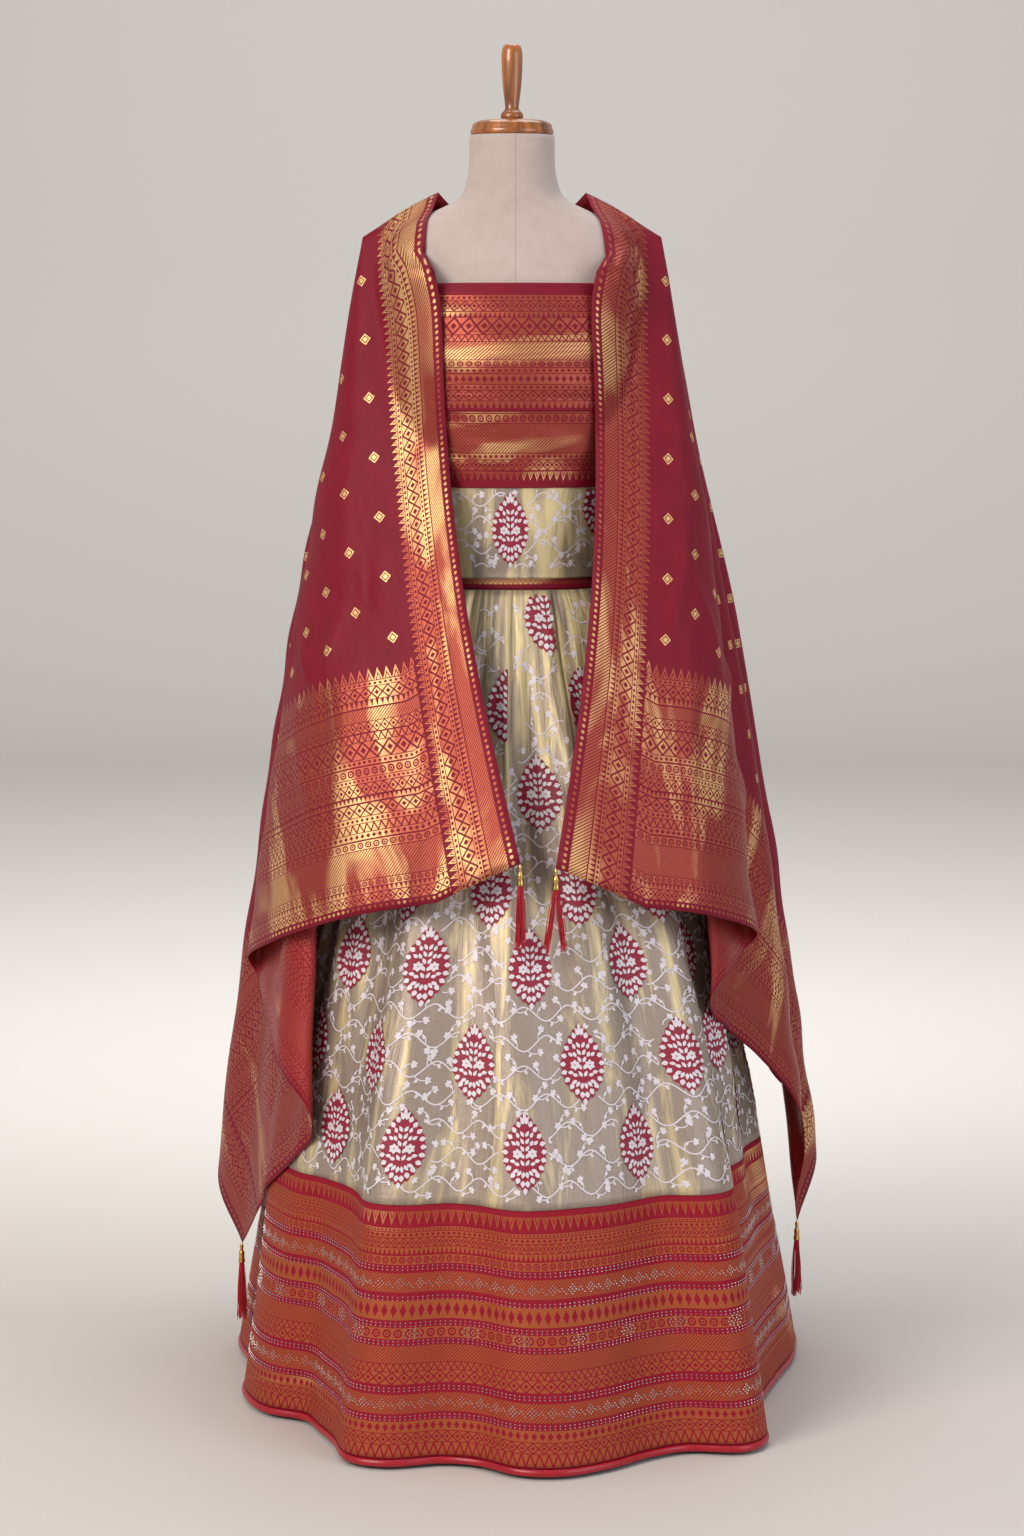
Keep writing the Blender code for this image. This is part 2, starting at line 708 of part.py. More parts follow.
def make_dupatta(collection):
    """One length of cloth laid over both shoulders."""
    mesh = bpy.data.meshes.new("dupatta")
    bm = bmesh.new()
    for patch in drape_places():
        rows = [[bm.verts.new(dupatta_point(s, t)) for s, t in row] for row in patch]
        for one, two in zip(rows, rows[1:]):
            for k in range(len(one) - 1):
                bm.faces.new((one[k], one[k + 1], two[k + 1], two[k]))
    bmesh.ops.remove_doubles(bm, verts=bm.verts, dist=0.0002)
    for side in (-1, 1):
        tip = Vector((side * SHOULDER_TIP[0], *SHOULDER_TIP[1:]))
        crowded = [v for v in bm.verts if (v.co - tip).length < 0.16]
        bmesh.ops.remove_doubles(bm, verts=crowded, dist=0.010)
    bmesh.ops.dissolve_degenerate(bm, edges=bm.edges, dist=0.0002)
    shell, _ = body_shell()
    hung = {v: v.co.copy() for v in bm.verts}
    for _ in range(3):
        settle(bm, shell, 12)
        even_out(bm, hung, 4)
    settle(bm, shell, 60)
    bmesh.ops.recalc_face_normals(bm, faces=bm.faces)
    bm.to_mesh(mesh)
    bm.free()
    drape = new_object("dupatta", mesh, "silk", collection)
    thicken(drape, CLOTH, 0.0)


def make_tassel(name, corner, below, collection):
    """A turned cap under the cloth's corner, and under it a head with its strands."""
    top = corner.z - below
    foot = top - TASSEL_CAP_LENGTH
    cap_profile = (
        (0.0000, 0.0),
        (TASSEL_CAP_RADIUS, 0.0),
        (TASSEL_CAP_RADIUS, 0.0030),
        (0.0034, 0.0110),
        (0.0038, 0.0125),
        (0.0020, 0.0180),
        (0.0026, 0.0215),
        (0.0008, TASSEL_CAP_LENGTH),
        (0.0000, TASSEL_CAP_LENGTH),
    )
    cap = turned(f"{name}_cap", cap_profile, foot, 10, "brass", collection)
    cap.data.transform(Matrix.Translation((corner.x, corner.y, 0)))

    head_top = foot - GAP
    mesh = bpy.data.meshes.new(f"{name}_strands")
    bm = bmesh.new()
    half = STRANDS_PER_SIDE * STRAND_PITCH / 2
    marks = [-half + STRAND_PITCH * k for k in range(STRANDS_PER_SIDE + 1)]

    def at(x, y, z):
        return bm.verts.new((corner.x + x, corner.y + y, z))

    grid = [[at(x, y, head_top - 0.004) for x in marks] for y in marks]
    for i in range(STRANDS_PER_SIDE):
        for j in range(STRANDS_PER_SIDE):
            cell = (grid[j][i], grid[j][i + 1], grid[j + 1][i + 1], grid[j + 1][i])
            middle = ((marks[i] + marks[i + 1]) / 2, (marks[j] + marks[j + 1]) / 2)
            above = cell
            for drop, splay in ((0.004, 1.0), (0.030, 1.25), (STRAND_LENGTH, STRAND_SPLAY)):
                uneven = 0.006 * math.sin(7 * i + 4 * j) if drop == STRAND_LENGTH else 0.0
                x, y = middle[0] * splay, middle[1] * splay
                half_width = STRAND_WIDTH / 2
                ring = [
                    at(x + dx * half_width, y + dy * half_width, head_top - drop - uneven)
                    for dx, dy in ((-1, -1), (1, -1), (1, 1), (-1, 1))
                ]
                for k in range(4):
                    n = (k + 1) % 4
                    bm.faces.new((above[k], above[n], ring[n], ring[k]))
                above = ring
            bm.faces.new(above)
    rim = grid[0] + [row[-1] for row in grid[1:]] + grid[-1][-2::-1] + [row[0] for row in grid[-2:0:-1]]
    crown = [at((v.co.x - corner.x) * 0.8, (v.co.y - corner.y) * 0.8, head_top) for v in rim]
    for k in range(len(rim)):
        n = (k + 1) % len(rim)
        bm.faces.new((rim[k], rim[n], crown[n], crown[k]))
    bm.faces.new(crown)
    bmesh.ops.recalc_face_normals(bm, faces=bm.faces)
    bm.to_mesh(mesh)
    bm.free()
    new_object(f"{name}_strands", mesh, "thread", collection)


def make_tassels(collection):
    drape = bpy.data.objects["dupatta"]
    for name, s, t, below in (
        ("tassel_front_left", -DUPATTA_HALF_LENGTH, 0.0, 0.0012),
        ("tassel_front_right", DUPATTA_HALF_LENGTH, 0.0, 0.0012),
        ("tassel_side_left", -DUPATTA_HALF_LENGTH, DUPATTA_WIDTH, 0.0006),
        ("tassel_side_right", DUPATTA_HALF_LENGTH, DUPATTA_WIDTH, 0.0006),
    ):
        hung = dupatta_point(s, t)
        corner = min((v.co for v in drape.data.vertices), key=lambda co: (co - hung).length)
        make_tassel(name, corner.copy(), below, collection)


def main():
    clear_scene()
    collection = bpy.data.collections.new("lehenga")
    bpy.context.scene.collection.children.link(collection)
    make_form(collection)
    make_bodice(collection)
    make_skirt(collection)
    make_dupatta(collection)
    make_tassels(collection)


main()
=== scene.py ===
# A brocade lehenga set on a limbless dress form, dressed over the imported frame.
# Metres, +Z up, the front faces -Y, the origin is on the floor under the stand.
# Angles round the body are measured from the front and grow towards +X.
import math
import random

import bmesh
import bpy
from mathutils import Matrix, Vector
from mathutils.bvhtree import BVHTree


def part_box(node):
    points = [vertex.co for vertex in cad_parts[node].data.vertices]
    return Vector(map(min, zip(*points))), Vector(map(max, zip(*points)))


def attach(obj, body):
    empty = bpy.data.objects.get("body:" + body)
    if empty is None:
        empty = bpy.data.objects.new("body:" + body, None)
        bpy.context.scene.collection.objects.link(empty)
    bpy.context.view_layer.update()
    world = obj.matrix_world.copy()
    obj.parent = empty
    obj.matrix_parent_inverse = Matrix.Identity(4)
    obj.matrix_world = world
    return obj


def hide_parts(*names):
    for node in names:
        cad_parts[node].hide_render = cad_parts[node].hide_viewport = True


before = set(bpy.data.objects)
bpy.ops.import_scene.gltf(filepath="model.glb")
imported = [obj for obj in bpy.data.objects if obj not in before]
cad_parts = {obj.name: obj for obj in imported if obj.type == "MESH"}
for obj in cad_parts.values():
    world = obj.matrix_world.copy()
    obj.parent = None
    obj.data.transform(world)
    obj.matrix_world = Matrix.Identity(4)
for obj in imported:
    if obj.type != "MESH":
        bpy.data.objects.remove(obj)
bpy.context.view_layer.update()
print("frame loaded")

# camera, at the photograph's viewing angle
photoView = {"distance": 4.4, "height": 1.3, "tilt": 0.1155, "focal": 36 * 3520 / 1536}
cameraData = bpy.data.cameras.new("photoCamera")
cameraData.sensor_width = 36
cameraData.lens = photoView["focal"]
camera = bpy.data.objects.new("photoCamera", cameraData)
bpy.context.scene.collection.objects.link(camera)
camera.location = (0, -photoView["distance"], photoView["height"])
camera.rotation_euler = (math.pi / 2 - photoView["tilt"], 0, 0)
bpy.context.scene.camera = camera


def toLinear(hexColour):
    parts = [int(hexColour[k : k + 2], 16) / 255 for k in (1, 3, 5)]
    return tuple(p / 12.92 if p <= 0.04045 else ((p + 0.055) / 1.055) ** 2.4 for p in parts) + (1.0,)


def addNode(tree, kind, links=None, **settings):
    # links: socket name or number -> a value, or the output that feeds it
    node = tree.nodes.new(kind)
    for name, value in settings.items():
        setattr(node, name, value)
    for socket, value in (links or {}).items():
        if isinstance(value, bpy.types.NodeSocket):
            tree.links.new(value, node.inputs[socket])
        elif value is not None:
            node.inputs[socket].default_value = value
    return node


def newMaterial(name):
    made = bpy.data.materials.new(name)
    made.use_nodes = True
    tree = made.node_tree
    tree.nodes.clear()
    shader = addNode(tree, "ShaderNodeBsdfPrincipled")
    addNode(tree, "ShaderNodeOutputMaterial", {"Surface": shader.outputs[0]})
    return made, tree, shader


def wear(piece, *materials):
    piece.data.materials.clear()
    for item in materials:
        piece.data.materials.append(item)


def carry(piece, slot, *nodes):
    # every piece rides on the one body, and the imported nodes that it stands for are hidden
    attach(piece, "root")
    if nodes:
        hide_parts(*nodes)


def addPiece(name, mesh):
    piece = bpy.data.objects.new(name, mesh)
    bpy.context.scene.collection.objects.link(piece)
    return piece


def smoothThrough(rows, column, at):
    # cubic curve through a table's rows, read at a value of its first column
    last = len(rows) - 1
    if at <= rows[0][0]:
        return rows[0][column]
    if at >= rows[last][0]:
        return rows[last][column]
    i = max(k for k in range(last) if rows[k][0] <= at)
    x0, x1 = rows[i][0], rows[i + 1][0]
    y0, y1 = rows[i][column], rows[i + 1][column]
    chord = (y1 - y0) / (x1 - x0)
    first, second = chord, chord
    if i > 0:
        first = (chord + (y0 - rows[i - 1][column]) / (x0 - rows[i - 1][0])) / 2
    if i + 1 < last:
        second = (chord + (rows[i + 2][column] - y1) / (rows[i + 2][0] - x1)) / 2
    u, step = (at - x0) / (x1 - x0), x1 - x0
    return (
        (2 * u**3 - 3 * u**2 + 1) * y0
        + (u**3 - 2 * u**2 + u) * step * first
        + (3 * u**2 - 2 * u**3) * y1
        + (u**3 - u**2) * step * second
    )


def ease(low, high, at):
    u = min(1.0, max(0.0, (at - low) / (high - low)))
    return u * u * (3 - 2 * u)


def oval(halfWidth, front, behind, angle):
    depth = front if math.cos(angle) > 0 else behind
    side = abs(math.sin(angle)) / halfWidth
    along = abs(math.cos(angle)) / depth
    return (side**2.15 + along**2.15) ** (-1 / 2.15)


def atAngle(radius, angle, z):
    return Vector((radius * math.sin(angle), -radius * math.cos(angle), z))


def tubeMesh(name, columns, heights, point, coords=None):
    # open tube of cloth through rings of points, one ring for each height, with its own metre-true UVs
    points = [point(2 * math.pi * k / columns, z) for z in heights for k in range(columns)]
    faces, flat = [], []
    for row in range(len(heights) - 1):
        for k in range(columns):
            n = (k + 1) % columns
            faces.append(
                (row * columns + k, row * columns + n, (row + 1) * columns + n, (row + 1) * columns + k)
            )
            if coords:
                for column, level in ((k, row), (k + 1, row), (k + 1, row + 1), (k, row + 1)):
                    flat.append(coords(2 * math.pi * column / columns, heights[level]))
    mesh = bpy.data.meshes.new(name)
    mesh.from_pydata([tuple(p) for p in points], [], faces)
    if coords:
        layer = mesh.uv_layers.new(name="cloth")
        for loop, uv in zip(layer.data, flat):
            loop.uv = uv
    mesh.shade_smooth()
    return mesh


def applyAll(piece):
    bpy.ops.object.select_all(action="DESELECT")
    piece.select_set(True)
    bpy.context.view_layer.objects.active = piece
    for modifier in list(piece.modifiers):
        bpy.ops.object.modifier_apply(modifier=modifier.name)


def giveWall(piece, thickness, offset, innerSlot=0):
    wall = piece.modifiers.new("wall", "SOLIDIFY")
    wall.thickness = thickness
    wall.offset = offset
    wall.use_even_offset = False
    wall.material_offset = innerSlot
    wall.material_offset_rim = 0
    applyAll(piece)


def steps(low, high, count):
    return [low + (high - low) * k / count for k in range(count + 1)]


# sizes shared by the form, the bodice and the skirt
cloth = {"gap": 0.0004, "wall": 0.0013, "skirtWall": 0.0016}
# the bodice and the dupatta are drawn thinner than their solids, so that their edges look like cloth
cloth["thinWall"] = cloth["wall"] * 0.8
levels = {
    "neckTop": 1.574, "bandBottom": 1.0205, "bandTop": 1.045, "midriffBottom": 1.034, "midriffTop": 1.156,
    "lowerBottom": 1.145, "lowerTop": 1.248, "upperBottom": 1.238, "upperTop": 1.392,
    "skirtTop": 1.0193, "seam": 0.305, "hem": 0.004, "piping": 0.009,
}
formTable = (  # height, half width, depth in front, depth behind
    (0.860, 0.152, 0.108, 0.116), (0.900, 0.158, 0.112, 0.122), (0.950, 0.152, 0.108, 0.116),
    (1.000, 0.132, 0.101, 0.098), (1.034, 0.120, 0.096, 0.086), (1.080, 0.121, 0.099, 0.086),
    (1.145, 0.129, 0.106, 0.094), (1.200, 0.137, 0.117, 0.100), (1.250, 0.143, 0.130, 0.104),
    (1.300, 0.147, 0.133, 0.106), (1.350, 0.150, 0.119, 0.106), (1.392, 0.153, 0.101, 0.103),
    (1.425, 0.157, 0.084, 0.093), (1.448, 0.153, 0.071, 0.080), (1.466, 0.130, 0.062, 0.068),
    (1.482, 0.096, 0.056, 0.060), (1.496, 0.068, 0.054, 0.057), (1.520, 0.056, 0.052, 0.054),
    (1.574, 0.0525, 0.0515, 0.0525),
)


def formRadius(angle, z):
    return oval(*(smoothThrough(formTable, column, z) for column in (1, 2, 3)), angle)


# skirt: 14 knife pleats that open into the hem's folds
skirtCut = {
    "pleats": 14, "pleatStep": 0.0055, "pleatFace": 0.93, "fluteDepth": 0.007, "bodyDepth": 0.75,
    "bodyArea": 1.2
}
skirtTable = (  # height, half width, depth in front, depth behind
    (0.000, 0.362, 0.392, 0.412), (0.150, 0.338, 0.366, 0.382), (0.300, 0.314, 0.336, 0.346),
    (0.450, 0.284, 0.296, 0.300), (0.600, 0.248, 0.246, 0.252), (0.750, 0.212, 0.192, 0.205),
    (0.870, 0.184, 0.150, 0.165), (0.950, 0.166, 0.124, 0.134), (1.000, 0.143, 0.110, 0.110),
    (1.0193, 0.1255, 0.1015, 0.0915),
)
hemFolds = (  # angle in degrees, radius as a share of the plain section
    (-180, 0.95), (-165, 1.06), (-148, 0.93), (-133, 1.08), (-118, 1.08), (-96, 0.93), (-76, 0.95),
    (-62, 0.92), (-53, 0.84), (-44, 0.87), (-36, 0.93), (-29, 1.03), (-22, 1.03), (-13, 0.945),
    (-6, 0.955), (1, 1.04), (8, 1.06), (16, 1.02), (26, 0.96), (34, 0.975), (41, 1.09), (48, 1.08),
    (58, 0.93), (72, 0.90), (88, 0.94), (106, 1.05), (122, 1.12), (138, 0.94), (154, 1.05),
    (168, 0.96), (180, 0.95),
)


def pleatProfile(angle):
    turn = (angle / (2 * math.pi) * skirtCut["pleats"]) % 1.0
    face = skirtCut["pleatFace"]
    return turn / face if turn < face else 1 - (turn - face) / 0.07


def skirtRadius(angle, z):
    plain = oval(*(smoothThrough(skirtTable, column, z) for column in (1, 2, 3)), angle)
    degrees = (math.degrees(angle) + 180) % 360 - 180
    share = smoothThrough(hemFolds, 1, degrees)
    folded = plain * (1 + (share - 1) * (1 - ease(0.02, 0.98, z)))
    pleats = skirtCut["pleatStep"] * pleatProfile(angle) * ease(0.62, 0.95, z)
    flutes = skirtCut["fluteDepth"] * math.cos(skirtCut["pleats"] * angle + 0.6)
    flutes *= (1 - ease(0.80, 0.98, z)) * ease(0.10, 0.45, z)
    puckers = 0.0016 * math.sin(37 * angle + 6 * math.sin(9 * z)) * math.sin(11 * angle + 21 * z)
    puckers *= ease(0.35, 0.6, z)
    return folded + pleats + flutes + puckers * (1 - ease(0.93, 1.0, z))


def skirtPoint(angle, z, out=0.0):
    return atAngle(skirtRadius(angle, z) + out, angle, z)


# the bodice's tiers: how far each stands off the form
bands = {"seat": 0.0002, "rolledEdge": 0.006, "weaveRadius": 0.128}
tierOut = {}
for order, tier in enumerate(("waistband", "midriff", "lower", "upper")):
    tierOut[tier] = cloth["gap"] + order * (cloth["wall"] + cloth["gap"])


def bodiceWrinkles(tier, angle, z):
    # shallow drag lines of cloth wound tight, and the tuck lines of the photograph
    if tier == "upper":
        drag = 0.0007 * math.sin(150 * (z - 1.24) + 4.0 * math.sin(angle * 2 + 0.6)) * ease(1.24, 1.27, z)
        return drag * (1 - ease(1.36, 1.39, z))
    if tier == "lower":
        slope = 130 * (z - 1.145) + 9 * math.sin(angle + 0.5)
        return 0.0011 * math.sin(slope) * ease(1.157, 1.170, z) * (1 - ease(1.225, 1.237, z))
    if tier == "midriff":
        drag = 0.0006 * math.sin(90 * (z - 1.034) + 5 * math.sin(angle)) * ease(1.046, 1.056, z)
        return drag * (1 - ease(1.128, 1.143, z))
    return 0.0


def dressedRadius(angle, z):
    # outer radius of the dressed form, which the drape has to clear
    if z < levels["skirtTop"]:
        return skirtRadius(angle, z) + cloth["skirtWall"]
    tiers = 4 * (cloth["gap"] + cloth["wall"]) + 0.001
    return formRadius(angle, z) + tiers * (1 - ease(levels["upperTop"], levels["upperTop"] + 0.02, z))


# dupatta: 2.10 by 1.10 m, laid over both shoulders. s runs along it from the middle of the back,
# t across it from the neck edge
drape = {
    "halfLength": 1.05, "width": 1.10, "tipStation": 0.21, "tipInset": 0.107,
    "shoulderTip": (0.184, 0.004, 1.4500), "neckPoint": (0.084, 0.004, 1.4935),
    "backTop": (0.0, 0.092, 1.448), "backYoke": (0.0, 0.124, 1.346), "bulge": 0.014, "neckBow": 0.032,
    "clearance": 0.0035, "restClearance": 0.0028, "evenSpan": 0.30, "shoulderLevel": 1.405,
}
hang = drape["halfLength"] - drape["tipStation"]
drop = drape["width"] - drape["tipInset"]
leftEdge = (  # along the edge from the front corner, sideways reach, depth
    (0.000, -0.010, -0.280), (0.107, 0.090, -0.262), (0.237, 0.208, -0.232), (0.357, 0.292, -0.140),
    (0.450, 0.331, -0.040), (0.510, 0.323, -0.006), (0.600, 0.306, -0.068), (0.700, 0.284, -0.162),
    (0.797, 0.244, -0.197), (0.880, 0.258, -0.133), (0.990, 0.316, -0.033), (1.100, 0.350, 0.069),
    (1.200, 0.388, 0.140), (1.300, 0.370, 0.205), (1.400, 0.344, 0.236), (1.500, 0.358, 0.308),
    (1.600, 0.310, 0.361), (1.700, 0.255, 0.341), (1.800, 0.214, 0.389), (1.940, 0.165, 0.412),
    (1.990, 0.125, 0.440), (2.045, 0.085, 0.405), (2.100, 0.040, 0.435), (2.150, 0.000, 0.412),
)
rightEdge = (
    (0.000, 0.052, -0.280), (0.107, 0.158, -0.258), (0.207, 0.238, -0.222), (0.290, 0.292, -0.150),
    (0.345, 0.303, -0.088), (0.400, 0.289, -0.072), (0.470, 0.262, -0.142), (0.530, 0.243, -0.160),
    (0.600, 0.255, -0.093), (0.700, 0.308, -0.032), (0.850, 0.369, 0.026), (0.950, 0.380, 0.093),
    (1.100, 0.376, 0.147), (1.200, 0.407, 0.196), (1.300, 0.379, 0.252), (1.400, 0.342, 0.258),
    (1.500, 0.341, 0.330), (1.600, 0.300, 0.377), (1.700, 0.245, 0.356), (1.800, 0.214, 0.399),
    (1.940, 0.160, 0.418), (1.990, 0.120, 0.400), (2.045, 0.085, 0.432), (2.100, 0.045, 0.402),
    (2.150, 0.000, 0.412),
)


def edgePoint(table, side, along, apex, length, evened):
    x, y = smoothThrough(table, 1, along), smoothThrough(table, 2, along)
    if evened > 0:
        spots = [along + drape["evenSpan"] * k / 4 for k in range(-4, 5)]
        x += (sum(smoothThrough(table, 1, a) for a in spots) / 9 - x) * evened
        y += (sum(smoothThrough(table, 2, a) for a in spots) / 9 - y) * evened
    x *= side
    flat = (x - apex.x) ** 2 + (y - apex.y) ** 2
    return Vector((x, y, apex.z - math.sqrt(max(length**2 - flat, (0.5 * length) ** 2))))


def drapePoint(s, t):
    side = -1.0 if s < 0 else 1.0
    table = leftEdge if s < 0 else rightEdge
    s = abs(s)
    inset, station = drape["tipInset"], drape["tipStation"]
    tip = Vector((side * drape["shoulderTip"][0], *drape["shoulderTip"][1:]))
    neck = Vector((side * drape["neckPoint"][0], *drape["neckPoint"][1:]))
    if s >= station and t <= inset:
        apex = neck.lerp(tip, t / inset)
        done = (s - station) / hang
        place = apex.lerp(edgePoint(table, side, t, apex, hang, 0.0), done)
        place.x += side * drape["neckBow"] * (1 - 0.6 * t / inset) * math.sin(math.pi * done)
        return pushStraight(place, -1)
    if s >= station:
        down, across = s - station, t - inset
        reach = math.hypot(down, across)
        if down * drop >= across * hang:
            full, along = reach * hang / max(down, 1e-9), inset + across * hang / max(down, 1e-9)
        else:
            full, along = reach * drop / across, drape["width"] + hang - down * drop / across
        done = reach / full
        evened = (1 - ease(0.08, 0.36, reach)) * ease(0.0, 0.12, across)
        place = tip.lerp(edgePoint(table, side, along, tip, full, evened), done)
        place.x += side * drape["bulge"] * math.sin(math.pi * done) * ease(0.1, 0.4, across)
        place.x += side * drape["neckBow"] * 0.4 * math.sin(math.pi * done) * (1 - ease(0.0, 0.3, across))
        bearing = math.atan2(across, max(down, 1e-9))
        if bearing < 0.40:
            return pushStraight(place, -1)
        if bearing > 1.15:
            return pushStraight(place, 1)
        return pushRound(place)
    share = s / station
    backTop, backYoke = Vector(drape["backTop"]), Vector(drape["backYoke"])
    top, yoke = backTop.lerp(neck, share), backYoke.lerp(tip, share)
    top.y = backTop.y + (neck.y - backTop.y) * share**2.2
    top.z = backTop.z + (neck.z - backTop.z) * share**2
    yoke.y = backYoke.y + (tip.y - backYoke.y) * share**2.2
    yoke.z = backYoke.z + (tip.z - backYoke.z) * share**2
    if t <= inset:
        return pushStraight(top.lerp(yoke, t / inset), 1)
    down = t - inset
    evened = (1 - ease(0.08, 0.36, down)) * ease(0.0, 0.12, down)
    foot = edgePoint(table, side, drape["width"] + drape["halfLength"] - s, yoke, drop, evened)
    place = yoke.lerp(foot, down / drop)
    place.x += side * drape["bulge"] * math.sin(math.pi * down / drop) * ease(0.1, 0.4, down) * share**2
    return pushStraight(place, 1)


def bodyLimit(place):
    return dressedRadius(math.atan2(place.x, -place.y), place.z) + drape["clearance"]


def pushStraight(place, way):
    # forward (-1) or back (1), until the point lies outside the dressed form
    if place.z > drape["shoulderLevel"]:
        return place
    if math.hypot(place.x, place.y) < bodyLimit(place) and way * place.y < 0:
        place.y = 0.0
    while math.hypot(place.x, place.y) < bodyLimit(place):
        place.y += way * 0.001
    return place


def pushRound(place):
    radius, limit = math.hypot(place.x, place.y), bodyLimit(place)
    if radius < limit and place.z < drape["shoulderLevel"]:
        place.x, place.y = place.x * limit / radius, place.y * limit / radius
    return place


# woven figures. x: 0 at a figure's middle to 0.5 at its side; y: 0 to 1 across the band;
# m: 0 on its middle line to 0.5; turns and climb: pitches counted along and across the cloth
motifRecipes = {
    "twill": (("w", "ADD", "turns", "climb"), ("w", "FRACT", "w"), ("out", "LESS_THAN", "w", 0.66)),
    "diamonds": (("r", "ADD", "x", "m"), ("out", "LESS_THAN", "r", 0.36)),
    "lattice": (
        ("r", "ADD", "x", "m"), ("ring", "COMPARE", "r", 0.5, 0.085),
        ("eye", "LESS_THAN", "r", 0.2), ("out", "MAXIMUM", "ring", "eye"),
    ),
    "zigzag": (("w", "MULTIPLY", "x", 2.0), ("out", "COMPARE", "y", "w", 0.2)),
    "spears": (
        ("w", "MULTIPLY", "x", 2.0), ("r", "ADD", "w", "y"), ("body", "LESS_THAN", "r", 0.95),
        ("core", "COMPARE", "r", 0.5, 0.1), ("out", "SUBTRACT", "body", "core"),
    ),
    "dots": (
        ("xx", "MULTIPLY", "x", "x"), ("mm", "MULTIPLY", "m", "m"), ("r", "ADD", "xx", "mm"),
        ("out", "LESS_THAN", "r", 0.075),
    ),
    "rings": (
        ("xx", "MULTIPLY", "x", "x"), ("mm", "MULTIPLY", "m", "m"), ("r", "ADD", "xx", "mm"),
        (
            "ring", "COMPARE", "r", 0.10, 0.05
        ), ("eye", "LESS_THAN", "r", 0.012), ("out", "MAXIMUM", "ring", "eye"),
    ),
    "drops": (("w", "MULTIPLY", "x", 3.2), ("out", "LESS_THAN", "w", "y")),
}


def weaveBands(tree, along, across, bands):
    # gold mask of woven bands: each is (start, end, figure, pitch, 1 where the gold is the ground)
    total = None
    for start, end, figure, pitch, reversed_ in bands:
        known = {}
        known["turns"] = addNode(
            tree, "ShaderNodeMath", {0: along, 1: 1 / pitch}, operation="MULTIPLY"
        ).outputs[0]
        known["climb"] = addNode(
            tree, "ShaderNodeMath", {0: across, 1: 1 / pitch}, operation="MULTIPLY"
        ).outputs[0]
        cell = addNode(tree, "ShaderNodeMath", {0: known["turns"]}, operation="FRACT").outputs[0]
        centred = addNode(tree, "ShaderNodeMath", {0: cell, 1: 0.5}, operation="SUBTRACT").outputs[0]
        known["x"] = addNode(tree, "ShaderNodeMath", {0: centred}, operation="ABSOLUTE").outputs[0]
        known["y"] = addNode(
            tree, "ShaderNodeMapRange", {"Value": across, "From Min": start, "From Max": end}, clamp=False
        ).outputs[0]
        middle = addNode(tree, "ShaderNodeMath", {0: known["y"], 1: 0.5}, operation="SUBTRACT").outputs[0]
        known["m"] = addNode(tree, "ShaderNodeMath", {0: middle}, operation="ABSOLUTE").outputs[0]
        for name, operation, *values in motifRecipes[figure]:
            fed = {k: known[v] if isinstance(v, str) else v for k, v in enumerate(values)}
            known[name] = addNode(tree, "ShaderNodeMath", fed, operation=operation).outputs[0]
        drawn = known["out"]
        if reversed_:
            drawn = addNode(tree, "ShaderNodeMath", {0: 1.0, 1: drawn}, operation="SUBTRACT").outputs[0]
        inside = addNode(
            tree, "ShaderNodeMath", {
                0: across, 1: (start + end) / 2, 2: (end - start) / 2
            }, operation="COMPARE"
        ).outputs[0]
        drawn = addNode(tree, "ShaderNodeMath", {0: drawn, 1: inside}, operation="MULTIPLY").outputs[0]
        if total is None:
            total = drawn
        else:
            total = addNode(tree, "ShaderNodeMath", {0: total, 1: drawn}, operation="MAXIMUM").outputs[0]
    return total


def weaveGround(tree, along, across, spacing, strength):
    # crossing threads as a bump; spacing in metres
    coords = addNode(tree, "ShaderNodeCombineXYZ", {0: along, 1: across}).outputs[0]
    threads = []
    for direction in ("X", "Y"):
        wave = addNode(
            tree, "ShaderNodeTexWave", {"Vector": coords, "Scale": 1 / spacing / 3.18, "Distortion": 0.3},
            bands_direction=direction,
        )
        threads.append(wave.outputs["Fac"])
    height = addNode(tree, "ShaderNodeMath", {0: threads[0], 1: threads[1]}, operation="MULTIPLY").outputs[0]
    return addNode(tree, "ShaderNodeBump", {"Height": height, "Strength": strength, "Distance": 0.0004})


